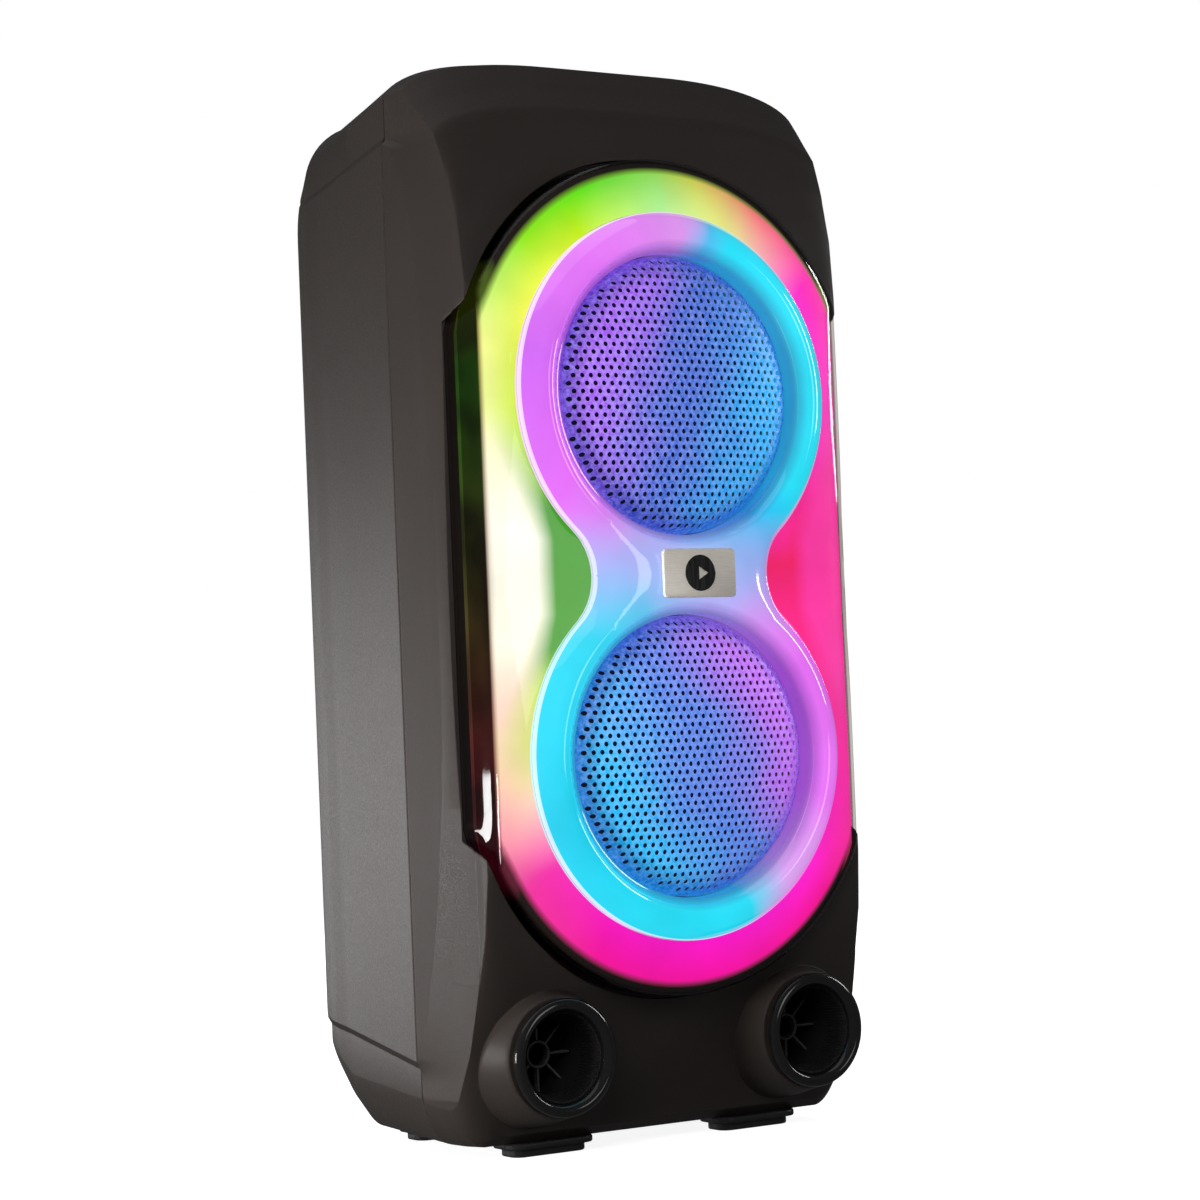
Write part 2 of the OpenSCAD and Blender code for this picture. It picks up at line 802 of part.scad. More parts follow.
color("#9a9a9a") yoke(lower_z);  // lower_yoke
color("#161616") foot(-1, -foot_front);  // foot_front_left
color("#161616") foot(1, -foot_front);  // foot_front_right
color("#161616") foot(-1, foot_rear);  // foot_rear_left
color("#161616") foot(1, foot_rear);  // foot_rear_right
color("#202020") control_panel();
color("#0a0a18") display_window();
color("#1c6b3a") control_board();
color("#2c2c2c") button(0);  // button_power
color("#2c2c2c") button(1);  // button_mode
color("#2c2c2c") button(2);  // button_previous
color("#2c2c2c") button(3);  // button_play
color("#2c2c2c") button(4);  // button_next
color("#2c2c2c") button(5);  // button_light
color("#1f1f1f") input_panel();
color("#3a3a3a") jack(mic_xs[0], 3.2, 7, 9, 26);  // mic_jack_left
color("#3a3a3a") jack(mic_xs[1], 3.2, 7, 9, 26);  // mic_jack_right
color("#3a3a3a") jack(aux_x, 1.8, 4.5, 6, 15);  // aux_jack
color("#b8b8b8") usb_socket();
color("#181818") dc_inlet();
color("#141414") power_switch_bezel();
color("#c02020") power_rocker();
color("#202020") volume_knob();
color("#202020") handle_cup();
color("#1c6b3a") amplifier_board();
color("#2a4a8a") battery_pack();
color("#8a8a8a") housing_screws();
color("#8a8a8a") woofer_screws();
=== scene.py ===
"""Looks of a tall party speaker: two woofers behind bowed grilles in a glowing figure-eight bezel.

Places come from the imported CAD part. A point is written as (x, f, z): f is the distance forward
of the cabinet's middle, so the front faces -Y.
"""

import json
import math
from contextlib import contextmanager

import bmesh
import bpy
from mathutils import Matrix, Vector
from mathutils.geometry import delaunay_2d_cdt


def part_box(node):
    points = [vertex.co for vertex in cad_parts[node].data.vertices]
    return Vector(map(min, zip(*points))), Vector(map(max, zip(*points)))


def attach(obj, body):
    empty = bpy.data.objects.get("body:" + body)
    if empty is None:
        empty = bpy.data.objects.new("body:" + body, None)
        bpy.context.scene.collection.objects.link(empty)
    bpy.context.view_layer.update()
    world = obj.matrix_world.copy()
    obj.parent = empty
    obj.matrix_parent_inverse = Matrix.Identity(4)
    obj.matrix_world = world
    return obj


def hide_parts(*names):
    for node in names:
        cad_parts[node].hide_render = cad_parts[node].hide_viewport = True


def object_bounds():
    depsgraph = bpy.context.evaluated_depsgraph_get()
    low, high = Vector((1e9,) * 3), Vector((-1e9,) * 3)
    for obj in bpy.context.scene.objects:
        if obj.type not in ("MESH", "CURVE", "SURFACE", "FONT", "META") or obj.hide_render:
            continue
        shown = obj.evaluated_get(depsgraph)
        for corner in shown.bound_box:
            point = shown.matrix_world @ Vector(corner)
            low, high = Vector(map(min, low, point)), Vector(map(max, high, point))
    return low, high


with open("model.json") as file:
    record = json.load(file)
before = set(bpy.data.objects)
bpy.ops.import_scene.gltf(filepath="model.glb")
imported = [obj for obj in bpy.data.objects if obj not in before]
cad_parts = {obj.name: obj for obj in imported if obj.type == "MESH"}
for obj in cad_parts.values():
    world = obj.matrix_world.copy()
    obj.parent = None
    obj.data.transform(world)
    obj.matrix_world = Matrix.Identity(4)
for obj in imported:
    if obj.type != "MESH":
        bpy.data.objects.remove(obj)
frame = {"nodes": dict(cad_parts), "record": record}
cad_low, cad_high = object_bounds()

MM = 0.001
BODY = "cabinet"


# ---------------------------------------------------------------- sizes read from the frame

def middle(node):
    """Middle of a CAD node's box."""
    low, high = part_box(node)
    return (low + high) / 2


half_w = cad_high.x / MM
total_h = cad_high.z / MM
half_d = cad_high.y / MM
front_f = -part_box("front_housing")[0].y / MM
seam_f = -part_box("front_housing")[1].y / MM
foot_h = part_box("front_housing")[0].z / MM
upper_z = middle("upper_grille").z / MM
lower_z = middle("lower_grille").z / MM
mid_z = (upper_z + lower_z) / 2
pitch_half = (upper_z - lower_z) / 2
opening_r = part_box("upper_grille")[1].x / MM + 0.3
port_x = middle("port_ring_right").x / MM
port_z = middle("port_ring_right").z / MM
port_ring_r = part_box("port_ring_right")[1].x / MM - port_x
ring_f = -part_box("port_ring_right")[0].y / MM

# Sizes as in the part's source: the figure eight's lobes and waist, the light cover, then how far
# forward the floor of the cover's pocket and the outer edge of the bezel's face are.
lobe_r = 100.0
waist_w = 56.5
cover_r = 130.5
cover_w = 118.0
floor_f = 66.0
bezel_f = 99.0


# ---------------------------------------------------------------- mesh helpers

def point(x, f, z):
    """Place in metres of a point in millimetres across, forward and up."""
    return Vector((x * MM, -f * MM, z * MM))


def new_object(name, data):
    """An object in the scene that holds a mesh, a light or a camera."""
    made = bpy.data.objects.new(name, data)
    bpy.context.scene.collection.objects.link(made)
    return made


def new_piece(name, points, faces, body=BODY):
    """A mesh piece from points and faces, that rides on a body."""
    mesh = bpy.data.meshes.new(name)
    mesh.from_pydata(points, [], faces)
    mesh.validate()
    mesh.update()
    piece = new_object(name, mesh)
    if body:
        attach(piece, body)
    return piece


def smooth(piece, angle):
    """Smooth shading that keeps edges sharper than the angle."""
    piece.data.shade_smooth()
    piece.data.set_sharp_from_angle(angle=math.radians(angle))


@contextmanager
def edited(piece):
    """Opens a piece's mesh for editing, and writes it back with its faces turned outwards."""
    built = bmesh.new()
    built.from_mesh(piece.data)
    yield built
    bmesh.ops.recalc_face_normals(built, faces=built.faces)
    built.to_mesh(piece.data)
    built.free()


def outward(piece):
    """Joins doubled points of a mesh and turns every face outwards."""
    with edited(piece) as built:
        bmesh.ops.remove_doubles(built, verts=built.verts, dist=1e-6)


def bake(piece):
    """Replaces a piece's mesh by what its modifiers make of it."""
    graph = bpy.context.evaluated_depsgraph_get()
    mesh = bpy.data.meshes.new_from_object(piece.evaluated_get(graph))
    piece.modifiers.clear()
    piece.data = mesh


def thicken(piece, depth):
    """Gives a sheet its thickness, inwards."""
    outward(piece)
    step = piece.modifiers.new("thickness", "SOLIDIFY")
    step.thickness = depth * MM
    step.offset = -1.0
    bake(piece)


def combine(piece, operation, cutters):
    """Cuts or joins closed shapes with a piece, one after another."""
    for cutter in cutters:
        step = piece.modifiers.new(operation.lower(), "BOOLEAN")
        step.operation = operation
        step.solver = "MANIFOLD"
        step.object = cutter
    bake(piece)
    for cutter in cutters:
        bpy.data.objects.remove(cutter)


def grid_faces(rows, columns, closed_rows=False, start=0):
    """Quads between rows of points; each row is a loop with the same number of columns."""
    faces = []
    for i in range(rows if closed_rows else rows - 1):
        for j in range(columns):
            a = start + i * columns + j
            b = start + i * columns + (j + 1) % columns
            c = start + ((i + 1) % rows) * columns + (j + 1) % columns
            d = start + ((i + 1) % rows) * columns + j
            faces.append((a, b, c, d))
    return faces


def sheet(name, rows, closed_rows=False):
    """A piece through rows of points that each make one loop."""
    faces = grid_faces(len(rows), len(rows[0]), closed_rows=closed_rows)
    return new_piece(name, [p for row in rows for p in row], faces)


def loft(name, rows, body=None):
    """A solid through rows of points that each make one loop, closed at its first and last row."""
    count = len(rows[0])
    last = (len(rows) - 1) * count
    faces = grid_faces(len(rows), count)
    faces.append(tuple(range(count)))
    faces.append(tuple(last + i for i in reversed(range(count))))
    piece = new_piece(name, [p for row in rows for p in row], faces, body)
    outward(piece)
    return piece


def circle(x, f, z, r, steps):
    """Points round a circle about a forward axis."""
    angles = [2 * math.pi * i / steps for i in range(steps)]
    return [point(x + r * math.cos(a), f, z + r * math.sin(a)) for a in angles]


def turned(name, x, z, profile, steps):
    """A ring turned about a forward axis; the closed profile is (radius, forward)."""
    piece = sheet(name, [circle(x, f, z, r, steps) for r, f in profile], closed_rows=True)
    outward(piece)
    return piece


def solid_disc(name, x, z, profile, steps=96):
    """A turned solid closed by flat ends; the open profile is (radius, forward)."""
    return loft(name, [circle(x, f, z, r, steps) for r, f in profile])


def prism(name, outline, f0, f1):
    """A closed block with an (x, z) outline between two forward positions."""
    return loft(name, [[point(x, f, z) for x, z in outline] for f in (f0, f1)])


def arc(cx, cz, r, a0, a1, steps):
    """Points on an arc, angles in degrees."""
    angles = [math.radians(a0 + (a1 - a0) * i / steps) for i in range(steps + 1)]
    return [(cx + r * math.cos(a), cz + r * math.sin(a)) for a in angles]


def stadium(r, steps=96):
    """Outline round both woofer centres."""
    top = arc(0, upper_z, r, 0, 180, steps)
    low = arc(0, lower_z, r, 180, 360, steps)
    return top + low


def rounded_box(w, h, r, x=0.0, z=0.0, steps=10):
    """Outline of a rectangle with rounded corners."""
    outline = []
    for k, (sx, sz) in enumerate(((1, 1), (-1, 1), (-1, -1), (1, -1))):
        outline += arc(x + sx * (w / 2 - r), z + sz * (h / 2 - r), r, 90 * k, 90 * k + 90, steps)
    return outline


def along(table, t):
    """Straight-line reading of a table of (place, value) at t."""
    if t <= table[0][0]:
        return table[0][1]
    for (a, va), (b, vb) in zip(table, table[1:]):
        if t <= b:
            return va + (vb - va) * (t - a) / (b - a)
    return table[-1][1]


# ---------------------------------------------------------------- node materials

def srgb(text):
    """Linear colour of a six-digit web colour."""
    values = [int(text[i:i + 2], 16) / 255 for i in (0, 2, 4)]
    return tuple(v / 12.92 if v <= 0.04045 else ((v + 0.055) / 1.055) ** 2.4 for v in values)


class Look:
    """A node material while it is wired up."""

    def __init__(self, name, roughness=0.5, metallic=0.0):
        self.material = bpy.data.materials.new(name)
        self.material.use_nodes = True
        self.nodes = self.material.node_tree.nodes
        self.links = self.material.node_tree.links
        self.shader = self.nodes["Principled BSDF"]
        self.output = self.nodes["Material Output"]
        self.place = self.nodes.new("ShaderNodeTexCoord").outputs["Object"]
        self.give(Roughness=roughness, Metallic=metallic)

    def set(self, socket, value):
        """Sets a socket to a number or colour, or links it to another socket."""
        if isinstance(value, bpy.types.NodeSocket):
            self.links.new(value, socket)
        elif isinstance(value, tuple) and len(value) == 3 and socket.type == "RGBA":
            socket.default_value = (*value, 1.0)
        else:
            socket.default_value = value

    def give(self, node=None, **inputs):
        """Sets inputs of a node, or else of the main shader; underscores stand for spaces."""
        for name, value in inputs.items():
            self.set((node or self.shader).inputs[name.replace("_", " ")], value)

    def add(self, kind, *values, **inputs):
        """A new node with its inputs set, in order or by name."""
        node = self.nodes.new("ShaderNode" + kind)
        for socket, value in zip(node.inputs, values):
            self.set(socket, value)
        self.give(node, **inputs)
        return node

    def math(self, operation, a, b=0.0, clamp=False):
        node = self.add("Math", a, b)
        node.operation = operation
        node.use_clamp = clamp
        return node.outputs[0]

    def length(self, a, b):
        """Length of the slanting side over two square sides."""
        squares = [self.math("POWER", self.math("ABSOLUTE", side), 2.0) for side in (a, b)]
        return self.math("SQRT", self.math("ADD", *squares))

    def noise(self, scale, detail=3.0, roughness=0.55, stretch=None):
        place = self.place
        if stretch:
            place = self.add("Mapping", Vector=place, Scale=stretch).outputs[0]
        node = self.add("TexNoise", Vector=place, Scale=scale, Detail=detail, Roughness=roughness)
        return node.outputs["Fac"]

    def cells(self, scale):
        return self.add("TexVoronoi", Vector=self.place, Scale=scale).outputs["Distance"]

    def span(self, value, low, high, new_low=0.0, new_high=1.0):
        """Maps a range of a value to another range."""
        return self.add("MapRange", value, low, high, new_low, new_high).outputs[0]

    def uneven(self, low, high, scale, detail=3.0):
        """A value that wanders between low and high."""
        return self.span(self.noise(scale, detail), 0.3, 0.7, low, high)

    def mix(self, share, a, b):
        node = self.add("Mix", share)
        node.data_type = "RGBA"
        self.set(node.inputs[6], a)
        self.set(node.inputs[7], b)
        return node.outputs[2]

    def ramp(self, value, stops, smooth=False):
        """A colour ramp from stops of (place, web colour)."""
        node = self.add("ValToRGB", value)
        node.color_ramp.interpolation = "EASE" if smooth else "LINEAR"
        band = node.color_ramp.elements
        while len(band) < len(stops):
            band.new(1.0)
        for element, (place, colour) in zip(band, stops):
            element.position = place
            element.color = (*srgb(colour), 1.0)
        return node.outputs[0]

    def bump(self, height, strength, distance, edge_radius=0.0):
        """Bump, with edges rounded by a small radius where one is given."""
        node = self.add("Bump", Height=height, Strength=strength, Distance=distance)
        if edge_radius:
            edge = self.add("Bevel", Radius=edge_radius)
            edge.samples = 4
            self.give(node, Normal=edge.outputs[0])
        self.give(Normal=node.outputs[0])

    def wear_and_edge_highlight(self, colour, edge_colour):
        """The colour, lighter along sharp edges, broken up by noise: partly edge wear, partly a painted
        highlight along the edges.
        """
        edges = self.add("NewGeometry").outputs["Pointiness"]
        share = self.span(edges, 0.52, 0.62)
        broken = self.math("MULTIPLY", share, self.span(self.noise(420), 0.35, 0.7), clamp=True)
        return self.mix(broken, colour, edge_colour)

    def axes(self):
        """Coordinates x, y and z in metres, as three sockets."""
        node = self.add("SeparateXYZ", self.place)
        return node.outputs["X"], node.outputs["Y"], node.outputs["Z"]

    def across(self):
        """Coordinates x and z in metres, as two sockets."""
        x, _, z = self.axes()
        return x, z


def shade(colour, factor, lift=0.0):
    """A lighter or darker version of a colour."""
    return tuple(min(1.0, c * factor + lift) for c in colour)


def grained_plastic(name, colour, roughness=0.42, grain=0.22, edge=0.9):
    """Moulded plastic with a fine spark-eroded grain, and edges lighter in colour, partly as wear and
    partly as a painted highlight.
    """
    look = Look(name, roughness)
    patchy = look.mix(look.uneven(0.0, 0.35, 14, 4), colour, shade(colour, 1.35))
    look.give(Base_Color=look.wear_and_edge_highlight(patchy, shade(colour, 1.9)))
    speckle = look.math("ADD", look.noise(2600, 2), look.math("MULTIPLY", look.cells(1900), 0.8))
    look.give(Roughness=look.uneven(roughness - 0.07, roughness + 0.08, 900, 2),
              Specular_IOR_Level=0.36)
    look.bump(speckle, grain, 0.00025, edge * MM)
    return look.material


def gloss_plastic(name, colour, roughness):
    """Polished moulding: faint flow ripples and hairline scratches."""
    look = Look(name, roughness)
    flow = look.mix(look.noise(60), colour, shade(colour, 1.2))
    look.give(Base_Color=look.wear_and_edge_highlight(flow, shade(colour, 1.8, 0.004)))
    hairlines = look.noise(700, 4, 0.6, stretch=(1, 1, 0.06))
    look.give(Roughness=look.span(hairlines, 0.35, 0.7, roughness * 0.7, roughness * 1.8))
    look.bump(look.noise(160, 2), 0.05, 0.0004, 0.4 * MM)
    look.give(Coat_Weight=0.3, Coat_Roughness=0.05)
    return look.material


def brushed_metal(name, colour, roughness, stretch=(0.04, 1, 1), metallic=0.9):
    """Metal with a one-way brushed grain."""
    look = Look(name, roughness, metallic)
    streaks = look.noise(2400, 3, 0.6, stretch=stretch)
    tone = look.mix(look.span(streaks, 0.3, 0.7, 0.0, 0.5), colour, shade(colour, 0.72))
    look.give(Base_Color=look.wear_and_edge_highlight(tone, shade(colour, 1.25)))
    look.give(Roughness=look.span(streaks, 0.3, 0.7, roughness - 0.08, roughness + 0.1))
    look.bump(streaks, 0.12, 0.0001)
    return look.material


def rubber(name, colour):
    """Matt rubber with a dusty bloom."""
    look = Look(name, 0.75)
    dust = look.span(look.noise(90, 5), 0.4, 0.8)
    look.give(Base_Color=look.mix(dust, colour, shade(colour, 1.6, 0.004)))
    look.give(Roughness=look.uneven(0.62, 0.85, 500))
    look.bump(look.noise(1800, 3), 0.25, 0.0002, 0.4 * MM)
    return look.material


def fibre(name, colour, scale=900):
    """Pressed pulp or resin-treated cloth."""
    look = Look(name, 0.8)
    threads = look.noise(scale, 5, 0.7)
    look.give(Base_Color=look.mix(threads, colour, shade(colour, 1.7)))
    look.give(Roughness=look.span(threads, 0.3, 0.7, 0.65, 0.9))
    look.bump(threads, 0.4, 0.0003)
    return look.material


def circuit_board(name):
    """Solder mask with traces showing as darker and lighter cells."""
    look = Look(name, 0.4)
    traces = look.span(look.cells(240), 0.2, 0.3)
    look.give(Base_Color=look.mix(traces, (0.01, 0.09, 0.035), (0.02, 0.16, 0.06)))
    look.give(Roughness=look.uneven(0.3, 0.5, 300))
    look.bump(traces, 0.2, 0.0001)
    return look.material


# ---------------------------------------------------------------- lit colours

# Colours round the light panel, clockwise from the top, near the bezel and near the rim. Near the rim on
# the left, the near-white stops from 0.67 to 0.84 are a painted reflection of a softbox.
PANEL_INNER = [
    (0, "b4f8a0"), (0.05, "f0fa90"), (0.09, "fab0c0"), (0.125, "ff28e0"),
    (0.19, "ff30c8"), (0.24, "f01868"), (0.31, "f82090"), (0.38, "f820dc"),
    (0.47, "f808d0"), (0.57, "f000c0"), (0.62, "f828b8"), (0.66, "f8d8c0"),
    (0.69, "c0e840"), (0.71, "389c00"), (0.79, "309600"), (0.815, "b0e828"),
    (0.87, "f8fa50"), (0.93, "d0f400"), (1, "b4f8a0"),
]
PANEL_OUTER = [
    (0, "88d458"), (0.04, "c4cc50"), (0.08, "ee7078"), (0.125, "ff20b0"),
    (0.19, "f838a8"), (0.25, "f830a0"), (0.31, "f838a8"), (0.38, "f80898"),
    (0.47, "f000a0"), (0.57, "ee0098"), (0.62, "f030a0"), (0.67, "f8c0b0"),
    (0.72, "ffffe8"), (0.78, "fffff0"), (0.84, "f4fa98"), (0.89, "88e808"),
    (0.94, "58e008"), (1, "88d458"),
]
# Colours round the upper and lower ring of the bezel, clockwise from the top.
UPPER_RING = [
    (0, "d890e8"), (0.04, "48b8e8"), (0.075, "18d8f0"), (0.16, "28dcf0"),
    (0.34, "18daf0"), (0.42, "20b8ec"), (0.5, "98b8f0"), (0.58, "d090ec"),
    (0.66, "dc68ec"), (0.78, "c860e8"), (0.9, "dc70ec"), (1, "d890e8"),
]
LOWER_RING = [
    (0, "a8b4f0"), (0.08, "d490ec"), (0.15, "dc68e8"), (0.3, "e070ec"),
    (0.38, "d8a0ec"), (0.44, "20d8f0"), (0.5, "18d8f0"), (0.56, "18d8f0"),
    (0.7, "08c8e4"), (0.84, "28d8f0"), (0.93, "38c8ec"), (1, "a8b4f0"),
]


def turn_share(look, x, z, wide, high, wobble):
    """How far round clockwise from the top a place is, 0 to 1, on an ellipse, give or take a wobble."""
    angle = look.math("ARCTAN2", look.math("DIVIDE", x, wide), look.math("DIVIDE", z, high))
    share = look.math("DIVIDE", angle, 2 * math.pi)
    return look.math("FRACT", look.math("ADD", share, look.math("ADD", wobble, 1.0)))


def lobe_distance(look, x, z):
    """Distance from the line that joins the two woofer centres, in metres."""
    over = look.math("MAXIMUM", look.math("SUBTRACT", look.math("ABSOLUTE", z), pitch_half * MM), 0.0)
    return look.length(x, over)


def panel_glow(look):
    """Colour of the light panel, with a painted softbox reflection on its left near the rim, and how much
    of it is left towards its rim.
    """
    x, height = look.across()
    z = look.math("SUBTRACT", height, mid_z * MM)
    wobble = look.uneven(-0.015, 0.015, 9, 2)
    share = turn_share(look, x, z, cover_w * MM, 200 * MM, wobble)
    distance = lobe_distance(look, x, z)
    at_waist = look.span(look.math("ABSOLUTE", z), 90 * MM, 20 * MM)
    near = look.span(at_waist, 0.0, 1.0, 98 * MM, 79 * MM)
    far = look.span(at_waist, 0.0, 1.0, 122 * MM, 90 * MM)
    outer = look.span(distance, near, far)
    colour = look.mix(outer, look.ramp(share, PANEL_INNER), look.ramp(share, PANEL_OUTER))
    fade = look.span(distance, 122 * MM, 126 * MM, 1.0, 0.0)
    return colour, fade


# Stray light on the sides of the milky panel, bottom to top.
WING_COLOURS = [
    (0.00, "b83060"), (0.10, "8a3040"), (0.28, "5a3428"), (0.50, "5f6a30"),
    (0.72, "4a8a28"), (0.88, "3aa020"), (1.00, "8ab830"),
]


def diffuser_look():
    """Milky panel lit from behind by coloured lamps; its rim and its sides only catch stray light."""
    look = Look("lit_diffuser", 0.4)
    colour, fade = panel_glow(look)
    x, y, z = look.axes()
    front = look.span(y, -86 * MM, -84.6 * MM, 1.0, 0.0)
    fade = look.math("MINIMUM", fade, front)
    pools = look.uneven(1.04, 1.18, 28, 2)
    patches = look.span(look.noise(24, 2, stretch=(1, 1, 0.6)), 0.42, 0.66, 0.2, 1.25)
    stray = look.ramp(look.span(z, (mid_z - 150) * MM, (mid_z + 150) * MM), WING_COLOURS)
    side = look.span(look.math("ABSOLUTE", x), 106 * MM, 112 * MM)
    lit = look.math("MULTIPLY", fade, pools)
    unlit = look.math("MULTIPLY", look.math("SUBTRACT", 1.0, fade), look.math("MULTIPLY", patches, side))
    look.give(Base_Color=look.mix(fade, (0.016, 0.011, 0.009), (0.03, 0.02, 0.02)),
              Emission_Color=look.mix(fade, stray, colour),
              Emission_Strength=look.math("ADD", lit, unlit), Specular_IOR_Level=0.25)
    look.bump(look.noise(320, 2), 0.1, 0.0003)
    return look.material


def bezel_look(name, strength, painted_highlight_share=0.0):
    """Clear glossy ring over coloured lamps, with painted shade making it darker down in the two mouths,
    and a share of white as a painted highlight where one is asked for.
    """
    look = Look(name, 0.09)
    x, height = look.across()
    z = look.math("SUBTRACT", height, mid_z * MM)
    wobble = look.uneven(-0.02, 0.02, 16, 2)
    rings = []
    for stops, centre in ((UPPER_RING, pitch_half), (LOWER_RING, -pitch_half)):
        from_centre = look.math("SUBTRACT", z, centre * MM)
        share = turn_share(look, x, from_centre, 1.0, 1.0, wobble)
        rings.append(look.ramp(share, stops))
    colour = look.mix(look.span(z, -34 * MM, 34 * MM), rings[1], rings[0])
    # Painted highlight: a share of white mixed into the ring's colour.
    colour = look.mix(painted_highlight_share, colour, (1.0, 1.0, 1.0))
    from_woofer = look.math("SUBTRACT", look.math("ABSOLUTE", z), pitch_half * MM)
    radius = look.length(x, from_woofer)
    # Painted shade: the colour turns dark blue going down into each woofer's mouth.
    mouth = look.span(radius, (opening_r + 0.6) * MM, (opening_r + 7) * MM, 0.62, 0.0)
    colour = look.mix(mouth, colour, srgb("281a90"))
    pools = look.uneven(0.92, 1.04, 24, 2)
    look.give(Base_Color=look.mix(0.9, colour, (0.02, 0.02, 0.04)), Emission_Color=colour,
              Emission_Strength=look.math("MULTIPLY", pools, strength))
    look.give(Coat_Weight=1.0, Coat_Roughness=0.03)
    look.bump(look.noise(90, 1), 0.03, 0.0004)
    return look.material


def grille_look(name, left, middle_colour, right, centre_z, tilt):
    """Punched steel sheet with the ring's light painted on it: a glow in the ring's colours from left to
    right, painted shade in dark blue towards its rim, and paler hole edges as a painted highlight.
    """
    look = Look(name, 0.45, metallic=0.4)
    x, height = look.across()
    # Painted light: the sheet glows in the colours the lit ring would throw on it, shifting from left to
    # right.
    lean = look.math("ADD", x, look.math("MULTIPLY", look.math("SUBTRACT", centre_z * MM, height), tilt))
    lean = look.math("ADD", lean, look.uneven(-0.012, 0.012, 22, 2))
    share = look.span(lean, -66 * MM, 66 * MM)
    colour = look.ramp(share, [(0.0, left), (0.5, middle_colour), (1.0, right)], smooth=True)
    from_middle = look.math("SUBTRACT", height, centre_z * MM)
    # Painted shade: darker blue towards the rim, where the sheet dips into the bezel.
    rim = look.span(look.length(x, from_middle), 62 * MM, 72 * MM)
    colour = look.mix(rim, colour, look.mix(0.7, colour, srgb("10208a")))
    grain = look.noise(1500, 2)
    # The pale bluish edge colour paints highlights on the holes' edges.
    look.give(Base_Color=look.wear_and_edge_highlight(look.mix(0.5, colour, (0.02, 0.02, 0.05)), (0.4, 0.45, 0.8)))
    look.give(Emission_Color=colour, Emission_Strength=look.span(grain, 0.3, 0.7, 0.8, 0.96))
    look.give(Roughness=look.span(grain, 0.3, 0.7, 0.36, 0.52))
    look.bump(grain, 0.1, 0.0002)
    return look.material


def clear_cover_look():
    """Clear moulding with a smoky tint that deepens where it is seen edge-on."""
    look = Look("smoked_cover", 0.05)
    facing = look.add("LayerWeight", Blend=0.35).outputs["Facing"]
    wall = look.span(look.axes()[1], -90 * MM, -87 * MM)
    plain = look.mix(wall, (0.985, 0.975, 0.97), (0.5, 0.42, 0.4))
    tint = look.mix(look.math("POWER", facing, 2.2), plain, (0.14, 0.09, 0.09))
    clear = look.add("BsdfTransparent", Color=tint)
    ripple = look.add("Bump", Height=look.noise(26, 2), Strength=0.04, Distance=0.001)
    gloss = look.add("BsdfGlossy", Roughness=look.uneven(0.02, 0.06, 50), Normal=ripple.outputs[0])
    fresnel = look.add("Fresnel", IOR=1.5).outputs[0]
    behind = look.add("NewGeometry").outputs["Backfacing"]
    shine = look.math("MULTIPLY", fresnel, look.math("SUBTRACT", 1.0, behind))
    blend = look.add("MixShader", shine, clear.outputs[0], gloss.outputs[0])
    look.give(look.output, Surface=blend.outputs[0])
    look.nodes.remove(look.shader)
    return look.material


# Make and settings of the plain looks, by material slot of the record. Four more slots have looks of
# their own.
RECIPES = {
    "charcoal_plastic": (grained_plastic, (0.028, 0.0222, 0.0198)),
    "gasket_foam": (rubber, (0.004, 0.004, 0.004)),
    "circuit_board": (circuit_board,),
    "badge_metal": (brushed_metal, (0.9, 0.84, 0.75), 0.5, (0.04, 1, 1), 0.15),
    "badge_ink": (gloss_plastic, (0.006, 0.006, 0.006), 0.2),
    "port_plastic": (grained_plastic, (0.012, 0.011, 0.011), 0.4, 0.1, 0.3),
    "ring_plastic": (gloss_plastic, (0.006, 0.0055, 0.0055), 0.1),
    "basket_steel": (grained_plastic, (0.02, 0.02, 0.022), 0.45, 0.1, 0.4),
    "surround_rubber": (rubber, (0.008, 0.008, 0.008)),
    "cone_paper": (fibre, (0.012, 0.012, 0.014)),
    "coil_copper": (brushed_metal, (0.6, 0.28, 0.12), 0.35, (1, 0.05, 1)),
    "spider_cloth": (fibre, (0.35, 0.2, 0.07), 1600),
    "plated_steel": (brushed_metal, (0.55, 0.55, 0.56), 0.35),
    "ferrite": (grained_plastic, (0.03, 0.03, 0.033), 0.6, 0.3, 0.4),
    "foot_rubber": (grained_plastic, (0.012, 0.011, 0.011), 0.38, 0.12, 0.8),
    "panel_plastic": (gloss_plastic, (0.012, 0.012, 0.012), 0.28),
    "window_glass": (gloss_plastic, (0.004, 0.004, 0.01), 0.06),
    "button_rubber": (rubber, (0.03, 0.03, 0.03)),
    "jack_plastic": (gloss_plastic, (0.015, 0.015, 0.015), 0.25),
    "socket_steel": (brushed_metal, (0.7, 0.7, 0.7), 0.22),
    "rocker_plastic": (gloss_plastic, (0.42, 0.012, 0.012), 0.2),
    "knob_plastic": (grained_plastic, (0.014, 0.014, 0.014), 0.4, 0.12, 0.4),
    "battery_wrap": (gloss_plastic, (0.02, 0.06, 0.25), 0.25),
    "screw_steel": (brushed_metal, (0.16, 0.16, 0.17), 0.35),
}
materials = {slot: make(slot, *settings) for slot, (make, *settings) in RECIPES.items()}
materials["clear_cover"] = clear_cover_look()
materials["diffuser_plastic"] = diffuser_look()
materials["bezel_plastic"] = bezel_look("lit_bezel", 1.06)
# The grille's colours are painted light, standing for the ring's light falling on the steel.
materials["grille_metal"] = grille_look("grille_upper", "9a58e0", "3860c4", "10a4e8", upper_z, 0.35)
guard_plastic = grained_plastic("guard_plastic", (0.05, 0.048, 0.046), 0.35, 0.1, 0.3)


def finish(piece, slot, material=None, replaces=()):
    """Gives a piece the material of a record slot, or the one given, and hides the CAD nodes it stands for.
    """
    piece.data.materials.clear()
    piece.data.materials.append(material or materials[slot])
    if replaces:
        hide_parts(*replaces)


# ---------------------------------------------------------------- cabinet

